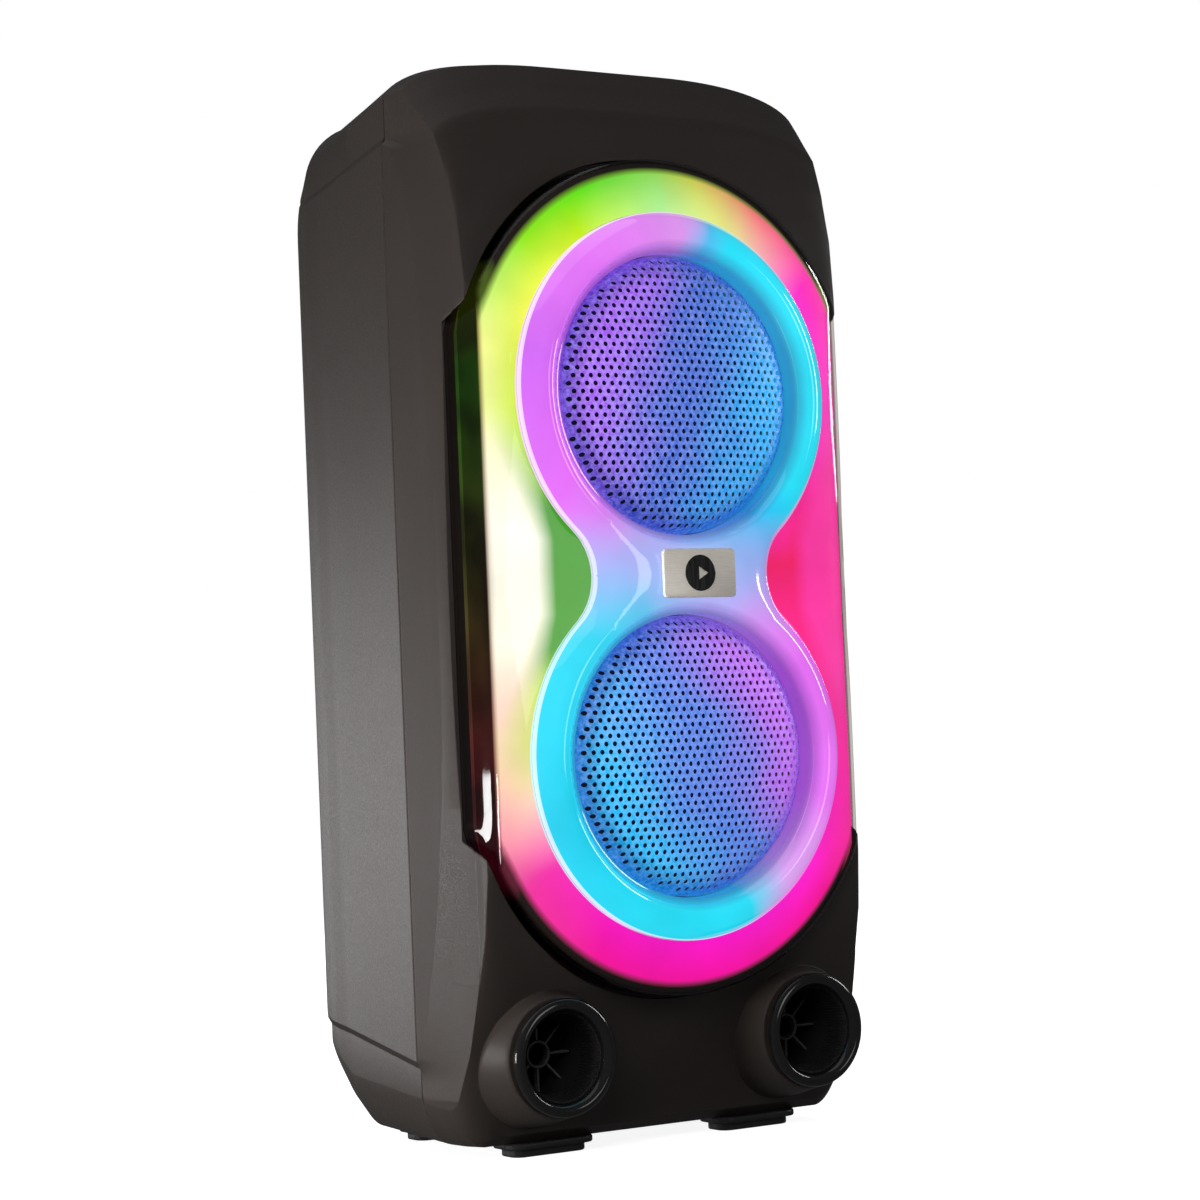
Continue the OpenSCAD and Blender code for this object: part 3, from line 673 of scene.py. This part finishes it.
# Cross-sections from front to back: forward position, half width, top, bottom, then width and
# height of the top corner and of the bottom corner, all in millimetres.
STATIONS = [
    (front_f, half_w - 17, 461, 161, 4, 4, 4, 4),
    (front_f - 1.5, half_w - 13, 476, 146, 8, 8, 8, 8),
    (front_f - 4.7, half_w - 12, 510, 112, 14, 10, 12, 10),
    (front_f - 10.8, half_w - 11, 536, 86, 26, 12, 20, 12),
    (front_f - 20.3, half_w - 4.5, total_h - 31, 53, 98, 29, 28, 14),
    (front_f - 32, half_w - 3, total_h - 18, foot_h + 5, 99, 29, 26, 40),
    (front_f - 37, half_w - 2.5, total_h - 12, foot_h, 99, 29, 23, 44),
    (front_f - 46, half_w - 1.5, total_h - 2, foot_h, 98, 29, 20, 45),
    (seam_f, half_w, total_h, foot_h, 88, 32, 20, 45),
    (-half_d + 41, half_w - 12.5, total_h - 12, foot_h, 70, 38, 22, 52),
    (-half_d + 25, half_w - 13.5, total_h - 13, foot_h + 7, 53, 48, 24, 54),
    (-half_d + 11, half_w - 16, total_h - 22, foot_h + 17, 42, 62, 24, 50),
    (-half_d + 3, half_w - 21, total_h - 34, foot_h + 28, 38, 56, 22, 44),
    (-half_d, half_w - 28, total_h - 48, foot_h + 40, 32, 48, 20, 36),
]


def section(f, inset):
    """Outline of the cabinet, or of its inside, at a forward position: (x, z) points, anticlockwise."""
    tables = [[(-s[0], s[k]) for s in STATIONS] for k in range(1, 8)]
    w, top, low, tw, th, bw, bh = [along(table, -f) for table in tables]
    w, top, low = w - inset, top - inset, low + inset
    half = [((w - bw) * i / 8, low) for i in range(8)]
    for i in range(17):
        a = math.radians(90 * i / 16)
        half.append((w - bw * (1 - math.sin(a) ** 1.12), low + bh * (1 - math.cos(a) ** 1.12)))
    half += [(w, low + bh + (top - th - low - bh) * i / 40) for i in range(1, 40)]
    for i in range(21):
        a = math.radians(90 * i / 20)
        half.append((w - tw * (1 - math.cos(a) ** 0.88), top - th * (1 - math.sin(a) ** 0.88)))
    half += [((w - tw) * (1 - i / 8), top) for i in range(1, 8)]
    left = [(-x, z) for x, z in reversed(half)]
    return half + [(0.0, top)] + left[:-1]


def cabinet_shell(name, outer_rows, inner_rows, inset):
    """Closed shell between an outer and an inner loft that meet at the open rim."""
    sections = [[point(x, f, z) for x, z in section(f, e)] for f, e in outer_rows]
    sections += [[point(x, f, z) for x, z in section(f, inset)] for f in inner_rows]
    return loft(name, sections, BODY)


def rows_between(stops, spacing):
    """Forward positions from stop to stop, no further apart than the spacing."""
    rows = [stops[0]]
    for a, b in zip(stops, stops[1:]):
        steps = max(1, math.ceil(abs(b - a) / spacing))
        rows += [a + (b - a) * i / steps for i in range(1, steps + 1)]
    return rows


# Front edge of the raised side panel, bottom to top: height and forward position. A sloping band in
# front of it leads down to the pillar, and above and below it the rear housing is a step lower.
PANEL_EDGE = [(40, 12), (54, 25), (70, 33), (90, 39), (120, 46), (160, 53), (220, 59), (290, 61),
              (350, 60), (420, 57), (475, 53), (515, 48), (535, 42), (546, 34), (551, 25), (555, 12)]
# Width of that band, depth of that step, and the walls of the two housings.
BAND = 9.5
REAR_STEP = 2.4
FRONT_WALL = 9
REAR_WALL = 3


def curve(table, t):
    """Smooth reading of a table of (place, value) at t."""
    if t <= table[0][0]:
        return table[0][1]
    if t >= table[-1][0]:
        return table[-1][1]
    k = max(i for i in range(len(table) - 1) if table[i][0] <= t)
    slopes = []
    for i in (k, k + 1):
        (a, va), (b, vb) = table[max(i - 1, 0)], table[min(i + 1, len(table) - 1)]
        slopes.append((vb - va) / (b - a))
    (a, va), (b, vb) = table[k], table[k + 1]
    u, span = (t - a) / (b - a), b - a
    start = (1 + 2 * u) * (1 - u) ** 2 * va + u * (1 - u) ** 2 * span * slopes[0]
    return start + u * u * (3 - 2 * u) * vb + u * u * (u - 1) * span * slopes[1]


def side_width(f):
    """Half width of the cabinet's raised side at a forward position."""
    return along([(-s[0], s[1]) for s in STATIONS], -f)


def pillar_width(f):
    """Half width of the front pillars, in front of the raised side panel."""
    return half_w - 2.6 - 0.162 * (f - seam_f)


def pillar_cutter(side):
    """Takes the front pillar down to its own level, with a sloping band along the side panel's edge."""
    rows = []
    for i in range(301):
        z = 10 + 585 * i / 300
        edge = curve(PANEL_EDGE, z)
        valley = edge + BAND
        slope = (side_width(edge) - pillar_width(valley)) / BAND
        loop = [(edge - 8, half_w + 14), (edge - 8, side_width(edge) + 8 * slope),
                (valley, pillar_width(valley)), (92, pillar_width(92)), (92, half_w + 14)]
        rows.append([point(side * x, f, z) for f, x in loop])
    return loft("pillar_cutter", rows)


def rear_cutter(side, above):
    """Lowers the rear housing's side a little above or below the raised panel."""
    rows = []
    for i in range(61):
        f = seam_f + 2 - (seam_f + 2 + half_d) * i / 60
        w = side_width(f)
        lean = 0.12 * (seam_f - f)
        edge, turn = (551 - lean, 1) if above else (54 + lean, -1)
        loop = [(edge - 5 * turn, half_w + 14), (edge - 5 * turn, w + 3), (edge + 4 * turn, w - REAR_STEP),
                (edge + 90 * turn, w - REAR_STEP), (edge + 90 * turn, half_w + 14)]
        rows.append([point(side * x, f, z) for z, x in loop])
    return loft("rear_cutter", rows)


def port_boss(side):
    """Cone that carries a port mouth."""
    face = ring_f - 8
    return solid_disc("boss", side * port_x, port_z,
                      [(42.5, seam_f + 20), (38.2, 66), (33.4, face - 2), (32.6, face - 0.6), (31.8, face)])


def build_front_housing():
    """Front shell with its port bosses, the light front's pocket and the woofers' holes."""
    stops = [s[0] for s in STATIONS[:9]]
    outer = [(f, 0.0) for f in rows_between(stops, 2.5)]
    outer = outer[:-1] + [(seam_f + 0.7, 0.0), (seam_f, 0.6)]
    inner = rows_between([seam_f, floor_f - 4], 8)
    shell = cabinet_shell("front_shell", outer, inner, FRONT_WALL)
    combine(shell, "UNION", [port_boss(side) for side in (-1, 1)])
    cutters = [prism("pocket_cutter", stadium(cover_r + 2.2), floor_f, half_d + 30)]
    for side in (-1, 1):
        cutters.append(pillar_cutter(side))
        cutters.append(solid_disc("port_cutter", side * port_x, port_z, [(27, 0), (27, half_d)]))
    for z in (upper_z, lower_z):
        cutters.append(solid_disc("woofer_cutter", 0, z, [(73, 0), (73, half_d)]))
    combine(shell, "DIFFERENCE", cutters)
    smooth(shell, 28)
    finish(shell, "charcoal_plastic", replaces=("front_housing",))


# Housing screws in the back, the slope of the top, and how far behind the seam the middle of the
# control panel is.
SCREWS = [(side * x, z) for side in (-1, 1) for x, z in ((98, 100), (98, 240), (98, 380), (92, 505))]
top_tilt = math.atan2(12, seam_f + half_d - 41)
panel_behind = 58


def on_top(x, y, rise):
    """A place on the sloping top of the rear housing, measured from the control panel's middle."""
    slope = Vector((0, math.cos(top_tilt), -math.sin(top_tilt)))
    normal = Vector((0, math.sin(top_tilt), math.cos(top_tilt)))
    start = point(0, seam_f, total_h)
    return start + Vector((x * MM, 0, 0)) + slope * (panel_behind + y) * MM + normal * rise * MM


def top_cutter(width, depth, r, low):
    """Cutter for the control panel's opening in the top, or for the rebate of its flange."""
    outline = rounded_box(width, depth, r)
    return loft("top_cutter", [[on_top(x, y, rise) for x, y in outline] for rise in (low, 8)])


def back_cutters(node, width, height, rebate_r, hole_r):
    """Cutters in the back for a part's hole, and for the rebate that takes its flange."""
    flange = 6
    z = middle(node).z / MM
    rebate = rounded_box(width, height, rebate_r, 0, z)
    hole = rounded_box(width - 2 * flange, height - 2 * flange, hole_r, 0, z)
    return [prism("rebate_cutter", rebate, -half_d - 1, -half_d + 1.5),
            prism("hole_cutter", hole, -half_d - 1, -half_d + 10)]


def build_rear_housing():
    """Rear shell with the holes for the input panel, the handle cup and the control panel."""
    rim_f = seam_f - 0.6
    stops = [rim_f] + [s[0] for s in STATIONS[9:]]
    outer = [(rim_f, 0.6), (rim_f - 0.7, 0.0)] + [(f, 0.0) for f in rows_between(stops, 4)[1:]]
    inner = rows_between([rim_f, -half_d + 3], 12)
    shell = cabinet_shell("rear_shell", list(reversed(outer)), inner, REAR_WALL)
    cutters = back_cutters("input_panel", 172.4, 132.4, 8, 5)
    cutters += back_cutters("handle_cup", 142.4, 58.4, 12, 10)
    cutters += [top_cutter(106, 52, 6, -12), top_cutter(116.3, 62.3, 10, -1.5)]
    for side in (-1, 1):
        cutters += [rear_cutter(side, above) for above in (True, False)]
    for x, z in SCREWS:
        cutters.append(solid_disc("screw_cutter", x, z, [(3.7, -half_d - 1), (3.7, -half_d + 1.4)]))
    combine(shell, "DIFFERENCE", cutters)
    smooth(shell, 28)
    finish(shell, "charcoal_plastic", replaces=("rear_housing",))


def build_gasket():
    """Foam strip in the seam, kept below the lowered parts of both housings."""
    low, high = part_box("seam_gasket")
    back, front = -high.y / MM, -low.y / MM
    loops = [(front, 3.2), (back, 3.2), (back, 5.6), (front, 5.6)]
    rows = [[point(x, f, z) for x, z in section(seam_f, inset)] for f, inset in loops]
    gasket = sheet("seam_gasket_strip", rows, closed_rows=True)
    outward(gasket)
    smooth(gasket, 30)
    finish(gasket, "gasket_foam", replaces=("seam_gasket",))


# ---------------------------------------------------------------- light front

waist_r = (pitch_half ** 2 + waist_w ** 2 - lobe_r ** 2) / (2 * (lobe_r - waist_w))
waist_x = waist_w + waist_r


def figure8_half(z, grow):
    """Half width of the figure-eight outline, grown a little, at a height above its middle."""
    tangent_z = pitch_half * waist_r / (lobe_r + waist_r)
    z = abs(z)
    if z < tangent_z:
        return waist_x - math.sqrt((waist_r - grow) ** 2 - z * z)
    return math.sqrt(max(0.0, (lobe_r + grow) ** 2 - (z - pitch_half) ** 2))


def ring_samples():
    """Places round the light front, anticlockwise: ("arc", angle) or (side, height above the middle)."""
    straight, round_steps = 40, 72
    samples = [("arc", 180 * i / round_steps) for i in range(round_steps)]
    samples += [("left", pitch_half * (1 - 2 * i / straight)) for i in range(straight)]
    samples += [("arc", 180 + 180 * i / round_steps) for i in range(round_steps)]
    samples += [("right", pitch_half * (2 * i / straight - 1)) for i in range(straight)]
    return samples


def inner_and_outer(sample, r, w):
    """Matching points just outside the figure eight and on an outline of radius r and half width w."""
    gap = 0.4
    kind, value = sample
    if kind == "arc":
        a = math.radians(value)
        cx, cz = math.cos(a), math.sin(a)
        centre = pitch_half if value < 180 else -pitch_half
        reach = min(r, w / max(abs(cx), 1e-6))
        near = lobe_r + gap
        return (near * cx, centre + near * cz), (reach * cx, centre + reach * cz)
    side = -1 if kind == "left" else 1
    return (side * figure8_half(value, gap), value), (side * w, value)


def row_at(pairs, share, f):
    """A row of points between the pairs, at a share of the way and a forward position."""
    return [point(x0 + (x1 - x0) * share, f, mid_z + z0 + (z1 - z0) * share)
            for (x0, z0), (x1, z1) in pairs]


def cover_surface(inset, rows, wall_rows):
    """Rows of points over the cover: across its face, then down its sides, which flare a little."""
    flare = 8
    r, w = cover_r - inset, cover_w - inset
    face = [inner_and_outer(sample, r, w) for sample in ring_samples()]
    foot = [inner_and_outer(sample, r, w + flare)[1] for sample in ring_samples()]
    wall = [(outer, low) for (_, outer), low in zip(face, foot)]
    grid = [row_at(face, share, bezel_f - 2 - inset - drop) for share, drop in rows]
    return grid + [row_at(wall, share, f) for share, f in wall_rows]


def build_cover():
    """Clear cover over the light front."""
    face = [(0.0, 0.0), (0.04, 0.3), (0.2, 0.8), (0.4, 1.5), (0.6, 2.4), (0.75, 3.3),
            (0.85, 4.1), (0.92, 4.9), (0.97, 6.0), (1.0, 7.6)]
    walls = [(0.06, 86), (0.2, 82), (0.45, 77), (0.7, 72), (1.0, floor_f + 0.2)]
    cover = sheet("cover_shell", cover_surface(0.0, face, walls))
    thicken(cover, 1.8)
    smooth(cover, 40)
    finish(cover, "clear_cover", replaces=("light_cover",))


def build_diffuser():
    """Milky light panel under the cover."""
    face = [(0.0, 0.0), (0.2, 0.8), (0.4, 1.5), (0.6, 2.4), (0.8, 3.6), (0.93, 5.2), (1.0, 7.0)]
    walls = [(0.1, 83), (0.2, 79), (0.5, 75), (0.8, floor_f + 5)]
    panel = sheet("diffuser_shell", cover_surface(2.0, face, walls))
    thicken(panel, 1.6)
    smooth(panel, 40)
    finish(panel, "diffuser_plastic", replaces=("light_diffuser",))


def bezel_reach(a):
    """How far the figure eight runs from the upper ring's centre at an angle, to its own middle line."""
    cx, cz = math.cos(a), math.sin(a)
    tangent = math.atan2(pitch_half, waist_x)
    if cz >= -math.sin(tangent):
        return lobe_r
    to_middle = pitch_half / -cz
    if abs(cx) * to_middle <= waist_w:
        return to_middle
    px, pz = -waist_x if cx > 0 else waist_x, pitch_half
    b = cx * px + cz * pz
    c = px * px + pz * pz - waist_r ** 2
    return -b - math.sqrt(max(0.0, b * b - c))


def outline_gap(x, z):
    """Distance inwards from the figure-eight outline; z is above the middle."""
    tangent_z = pitch_half * waist_r / (lobe_r + waist_r)
    over = abs(z) - pitch_half
    if abs(z) < tangent_z and math.hypot(x, over) > 60:
        return math.hypot(abs(x) - waist_x, z) - waist_r
    return lobe_r - math.hypot(x, over)


# Rise of the bezel's face with the distance in from its outline, and out from a woofer's opening.
OUTER_RISE = [(0, 0.0), (0.8, 1.2), (2, 3.0), (4, 5.6), (6.5, 7.9), (9.5, 9.8), (13, 11.2),
              (18, 12.6), (26, 14.0), (40, 14.5)]
INNER_RISE = [(0, 3.0), (0.8, 4.6), (3.2, 5.2), (4.0, 6.8), (6, 8.8), (9, 10.6), (13, 12.2),
              (18, 14.0), (24, 14.5)]
# Steps from a woofer's opening, 0, to the outline, 1, closer together where the face bends.
BEZEL_SHARES = [0, 0.02, 0.06, 0.12, 0.17, 0.22, 0.3, 0.4, 0.5, 0.6, 0.68, 0.76, 0.83, 0.89, 0.94,
                0.975, 1.0]


def bezel_height(x, z):
    """Forward position of the bezel's face; z is above the middle."""
    outer = along(OUTER_RISE, outline_gap(x, z))
    inner = along(INNER_RISE, math.hypot(x, abs(z) - pitch_half) - opening_r)
    blend = 1.6
    mix = min(max(0.5 + 0.5 * (inner - outer) / blend, 0.0), 1.0)
    return bezel_f + inner + (outer - inner) * mix - blend * mix * (1 - mix)


def bezel_half(sign):
    """Rows from the ring's inner skirt over its crest to the outline, for the upper or lower ring."""
    steps = 240
    rows = [[] for _ in range(len(BEZEL_SHARES) + 2)]
    corner = math.atan2(-pitch_half, waist_w)
    for i in range(steps):
        a = 2 * math.pi * i / steps
        for exact in (corner % (2 * math.pi), math.pi - corner):
            if abs(a - exact) < math.pi / steps:
                a = exact
        cx, cz = math.cos(a), math.sin(a)
        reach = bezel_reach(a)
        rows[0].append((opening_r * cx, bezel_f - 12, opening_r * cz))
        for row, share in zip(rows[1:], BEZEL_SHARES):
            r = opening_r + (reach - opening_r) * share
            x, z = r * cx, r * cz
            row.append((x, bezel_height(x, pitch_half + z), z))
        rows[-1].append((reach * cx, bezel_f - 9, reach * cz))
    grid = [[point(x, f, mid_z + sign * (pitch_half + z)) for x, f, z in row] for row in rows]
    return grid, steps


def build_bezel():
    """Figure-eight bezel in one piece, with a painted highlight, a whiter line, along its outline."""
    points, faces = [], []
    for sign in (1, -1):
        grid, steps = bezel_half(sign)
        faces += grid_faces(len(grid), steps, start=len(points))
        points += [p for row in grid for p in row]
    bezel = new_piece("bezel_shell", points, faces)
    clean_middle(bezel)
    thicken(bezel, 1.6)
    smooth(bezel, 30)
    finish(bezel, "bezel_plastic", replaces=("figure8_bezel",))
    # The faces along the outline take a half-whitened copy of the look: a painted highlight line.
    bezel.data.materials.append(bezel_look("lit_bezel_painted_highlight", 1.1, painted_highlight_share=0.5))
    for part in bezel.data.polygons:
        x, z = part.center.x / MM, part.center.z / MM - mid_z
        if math.hypot(x, abs(z) - pitch_half) > opening_r + 4 and outline_gap(x, z) < 0.7:
            part.material_index = 1


def clean_middle(bezel):
    """Joins the two rings along the middle line and drops the inner wall there."""
    near = 0.02 * MM
    with edited(bezel) as built:
        inner_walls = [f for f in built.faces if all(abs(v.co.z - mid_z * MM) < near for v in f.verts)]
        bmesh.ops.delete(built, geom=inner_walls, context="FACES")
        bmesh.ops.remove_doubles(built, verts=built.verts, dist=near)


# Rise of a grille with the distance from its centre.
GRILLE_RISE = [(0, 11.0), (16, 10.7), (32, 10.0), (44, 9.1), (53, 8.0), (61, 6.6), (67.6, 5.2),
               (70, 3.9), (72.5, 1.6), (75, -1.6), (76.4, -5.0)]


def grille_sheet(name, centre_z, material, node):
    """Bowed sheet with staggered punched holes, all cut as real holes."""
    pitch, hole_r, sides, rim_sides = 4.9, 1.42, 10, 180
    edge_r = opening_r - 0.6
    row_pitch = pitch * math.sqrt(3) / 2
    flat = arc(0, 0, edge_r, 0, 360 - 360 / rim_sides, rim_sides - 1)
    loops = [list(range(rim_sides))]
    rows = int(edge_r / row_pitch) + 1
    for row in range(-rows, rows + 1):
        shift = pitch / 2 if row % 2 else 0.0
        for column in range(-rows - 2, rows + 3):
            x, z = column * pitch + shift, row * row_pitch
            if math.hypot(x, z) > edge_r - 3.2:
                continue
            loops.append(list(range(len(flat), len(flat) + sides)))
            flat += arc(x, z, hole_r, 0, 360 - 360 / sides, sides - 1)
    found = delaunay_2d_cdt([Vector(p) for p in flat], [], loops, 1, 1e-5)
    kept = [face for face, inside in zip(found[2], found[5]) if inside == [0]]
    points = [point(v.x, bezel_f + along(GRILLE_RISE, v.length), centre_z + v.y) for v in found[0]]
    grille = new_piece(name, points, kept)
    thicken(grille, 0.9)
    smooth(grille, 30)
    finish(grille, "grille_metal", material, replaces=(node,))


def build_grilles():
    """A bowed grille over each woofer."""
    # The grille's colours are painted light, standing for the ring's light falling on the steel.
    lower = grille_look("grille_lower", "10b4ec", "4c78d8", "b860e4", lower_z, -0.55)
    grille_sheet("upper_grille_sheet", upper_z, materials["grille_metal"], "upper_grille")
    grille_sheet("lower_grille_sheet", lower_z, lower, "lower_grille")


# ---------------------------------------------------------------- badge

def build_badge():
    """Metal plate with rounded edges, and on it a dark disc with a plain triangle cut through."""
    back, face = half_d - 2.5, half_d - 0.5
    loops = [(47, 26.5, 2.5, back), (47, 26.5, 2.5, face - 0.5), (46.7, 26.2, 2.35, face - 0.15),
             (46.1, 25.6, 2.1, face)]
    rows = [[point(x, f, z) for x, z in rounded_box(w, h, r, 0, mid_z)] for w, h, r, f in loops]
    plate = loft("badge_plate_metal", rows, BODY)
    smooth(plate, 30)
    finish(plate, "badge_metal", replaces=("badge_plate",))
    disc = solid_disc("badge_disc", 0, mid_z, [(9.8, face), (9.8, face + 0.3), (9.5, half_d - 0.02)])
    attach(disc, BODY)
    mark = prism("mark_cutter", arc(1, mid_z, 4.2, 0, 240, 2), face - 1, half_d + 2)
    combine(disc, "DIFFERENCE", [mark])
    smooth(disc, 30)
    finish(disc, "badge_ink", replaces=("badge_emblem",))


# ---------------------------------------------------------------- bass ports

def build_port(side, word):
    """Gloss ring, flared tube, ribs and guard of one bass port."""
    x, base = side * port_x, ring_f - 5
    hole = port_ring_r - 7.7
    ring = turned(f"port_ring_{word}_gloss", x, port_z, [
        (hole, base), (port_ring_r - 0.4, base), (port_ring_r, base + 0.5), (port_ring_r, base + 2.8),
        (port_ring_r - 0.5, base + 3.9), (port_ring_r - 1.5, base + 4.6), (port_ring_r - 3, base + 5),
        (port_ring_r - 4.4, base + 4.9), (port_ring_r - 5.4, base + 4.2), (port_ring_r - 6.6, base + 2.9),
        (hole + 0.2, base + 1.4), (hole, base + 0.8)], 160)
    smooth(ring, 40)
    finish(ring, "ring_plastic", replaces=(f"port_ring_{word}",))
    bore = 20.0
    tube = turned(f"port_tube_{word}_shell", x, port_z, [
        (bore, -25), (bore, base - 24), (bore + 0.8, base - 14), (bore + 2.2, base - 6),
        (bore + 3.7, base), (30, base), (30, base - 2), (26.6, base - 2), (24, base - 12),
        (bore + 2, base - 24), (bore + 2, -25)], 160)
    smooth(tube, 40)
    finish(tube, "port_plastic", replaces=(f"port_tube_{word}",))
    build_ribs(side, word, base)
    build_guard(side, word)


def build_ribs(side, word, base):
    """Fine ribs round the throat just inside the mouth."""
    points, faces = [], []
    for i in range(80):
        a = 2 * math.pi * i / 80
        for da, r, f in ((-0.018, 23.9, base - 0.6), (0.018, 23.9, base - 0.6), (0.0, 22.9, base - 0.8),
                         (-0.018, 20.9, base - 15), (0.018, 20.9, base - 15), (0.0, 20.1, base - 14)):
            points.append(point(side * port_x + r * math.cos(a + da), f, port_z + r * math.sin(a + da)))
        k = len(points) - 6
        faces += [(k, k + 2, k + 1), (k + 3, k + 4, k + 5), (k, k + 3, k + 5, k + 2),
                  (k + 1, k + 2, k + 5, k + 4), (k, k + 1, k + 4, k + 3)]
    ribs = new_piece(f"port_ribs_{word}", points, faces)
    outward(ribs)
    finish(ribs, "port_plastic")


def build_guard(side, word):
    """Small ring on eight spokes, deep in the tube."""
    profile = [(6, 58.4), (6.4, 58), (7.2, 58), (7.6, 58.4), (7.6, 62.6), (7.2, 63), (6.4, 63), (6, 62.6)]
    guard = turned(f"port_guard_{word}", side * port_x, port_z, profile, 64)
    spokes = []
    for i in range(8):
        a = math.radians(45 * i)
        across, out = Vector((-math.sin(a), math.cos(a))) * 0.6, Vector((math.cos(a), math.sin(a)))
        outline = [out * 7 - across, out * 20.4 - across, out * 20.4 + across, out * 7 + across]
        spokes.append(prism("spoke", [(side * port_x + p.x, port_z + p.y) for p in outline], 58.5, 62))
    combine(guard, "UNION", spokes)
    smooth(guard, 30)
    finish(guard, "port_plastic", guard_plastic)


# ---------------------------------------------------------------- carried-over CAD nodes

# Width in millimetres of the bevel on the edges of CAD nodes, by material slot.
EDGE_WIDTH = {
    "foot_rubber": 1.0, "panel_plastic": 0.6, "button_rubber": 0.5, "knob_plastic": 0.5,
    "jack_plastic": 0.3, "rocker_plastic": 0.4, "window_glass": 0.15, "charcoal_plastic": 0.8,
    "battery_wrap": 1.5,
}


def dress_cad_nodes():
    """Gives each node still shown its material, and rounds the edges of the ones in sight."""
    slots = {part["node"]: part["material_slot"] for part in frame["record"]["subparts"]}
    for name, node in frame["nodes"].items():
        if node.hide_render:
            continue
        slot = slots[name]
        node.data.materials.clear()
        node.data.materials.append(materials[slot])
        if slot in EDGE_WIDTH:
            round_edges(node, EDGE_WIDTH[slot])


def round_edges(node, width):
    """Joins the flat faces and bevels the sharp edges, with modifiers only."""
    weld = node.modifiers.new("weld", "WELD")
    weld.merge_threshold = 1e-5
    flat = node.modifiers.new("flatten", "DECIMATE")
    flat.decimate_type = "DISSOLVE"
    flat.angle_limit = math.radians(1.0)
    bevel = node.modifiers.new("edges", "BEVEL")
    bevel.width = width * MM
    bevel.segments = 3
    bevel.limit_method = "ANGLE"
    bevel.angle_limit = math.radians(38)
    bevel.harden_normals = False
    node.modifiers.new("normals", "WEIGHTED_NORMAL").keep_sharp = True


# ---------------------------------------------------------------- studio

def add_camera():
    """Camera a little low and to the left, level with the lower woofer, tipped slightly."""
    yaw, pitch, roll = math.radians(33.26), math.radians(2.03), math.radians(2.4)
    ahead = Vector((math.sin(yaw) * math.cos(pitch), math.cos(yaw) * math.cos(pitch), math.sin(pitch)))
    right = Vector((math.cos(yaw), -math.sin(yaw), 0))
    above = right.cross(ahead)
    tipped_right = right * math.cos(roll) - above * math.sin(roll)
    tipped_above = tipped_right.cross(ahead)
    aim = point(-54.7, bezel_f, mid_z - 13)
    camera = new_object("camera", bpy.data.cameras.new("camera"))
    camera.data.lens = 94.9
    camera.data.sensor_width = 36
    axes = Matrix((tipped_right, tipped_above, -ahead)).transposed()
    camera.matrix_world = Matrix.Translation(aim - ahead * 1.6923) @ axes.to_4x4()
    bpy.context.scene.camera = camera


# Soft lights: name, place, aim, size and power, then whether each shows in mirror reflections and
# whether its light is scattered.
SOFTBOXES = [
    ("back_left", (-0.55, 1.3, 0.15), (-0.1, 0.05, 0.25), (0.6, 0.5), 3.2, True, True),
    ("low_left", (-0.9, -0.15, 0.12), (-0.1, -0.05, 0.14), (0.3, 0.2), 8, False, True),
    ("side_left", (-1.0, 0.32, 0.08), (-0.1, -0.03, 0.12), (0.2, 0.22), 3.4, True, False),
    ("high_left", (-0.8, -0.9, 0.7), (-0.1, -0.05, 0.45), (0.5, 0.5), 6, False, True),
    ("back_box", (0.7, 1.6, 1.1), (0, 0.1, 0.35), (0.9, 0.9), 26, False, True),
    ("front_box", (0.63, -2.1, 0.455), (0, 0, 0.4), (0.6, 0.62), 2.6, True, False),
    ("right_strip", (1.7, -0.75, 0.75), (0, 0, 0.4), (0.12, 0.7), 5, True, True),
]


def add_softbox(name, place, aim, size, power, mirrored, scattered):
    """Rectangular light that the camera doesn't see."""
    light = bpy.data.lights.new(name, "AREA")
    light.shape = "RECTANGLE"
    light.size, light.size_y = size
    light.energy = power
    lamp = new_object(name, light)
    lamp.location = place
    lamp.rotation_euler = (Vector(aim) - Vector(place)).to_track_quat("-Z", "Y").to_euler()
    lamp.visible_camera = False
    lamp.visible_glossy = mirrored
    lamp.visible_diffuse = scattered


def add_studio():
    """Pale glowing sweep, as round a light table, and large soft lights."""
    look = Look("pale_floor", 0.6)
    look.give(Base_Color=look.mix(look.noise(3), (0.5, 0.5, 0.5), (0.54, 0.54, 0.54)),
              Emission_Color=(1.0, 1.0, 1.0), Emission_Strength=0.9)
    floor = new_piece("floor", [(-9, -9, 0), (9, -9, 0), (9, 9, 0), (-9, 9, 0)], [(0, 1, 2, 3)], None)
    floor.data.materials.append(look.material)
    floor.visible_diffuse = False
    floor.visible_glossy = False
    add_surroundings()
    sun = bpy.data.lights.new("ceiling", "SUN")
    sun.energy = 0.5
    sun.angle = math.radians(70)
    ceiling = new_object("ceiling", sun)
    ceiling.rotation_euler = (math.radians(-12), math.radians(-14), 0)
    for softbox in SOFTBOXES:
        add_softbox(*softbox)


def add_surroundings():
    """Bright to look at, but dim in the reflections, as round a tent of black cards."""
    world = bpy.data.worlds.new("surroundings")
    world.use_nodes = True
    nodes, links = world.node_tree.nodes, world.node_tree.links
    path = nodes.new("ShaderNodeLightPath")
    strength = nodes.new("ShaderNodeMapRange")
    strength.inputs["To Min"].default_value = 0.09
    strength.inputs["To Max"].default_value = 1.0
    links.new(path.outputs["Is Camera Ray"], strength.inputs["Value"])
    links.new(strength.outputs[0], nodes["Background"].inputs["Strength"])
    nodes["Background"].inputs["Color"].default_value = (1, 1, 1, 1)
    bpy.context.scene.world = world


def main():
    add_camera()
    build_front_housing()
    build_rear_housing()
    build_gasket()
    build_cover()
    build_diffuser()
    build_bezel()
    build_grilles()
    build_badge()
    for side, word in ((-1, "left"), (1, "right")):
        build_port(side, word)
    dress_cad_nodes()
    add_studio()
    bpy.context.scene.view_settings.view_transform = "Standard"


main()
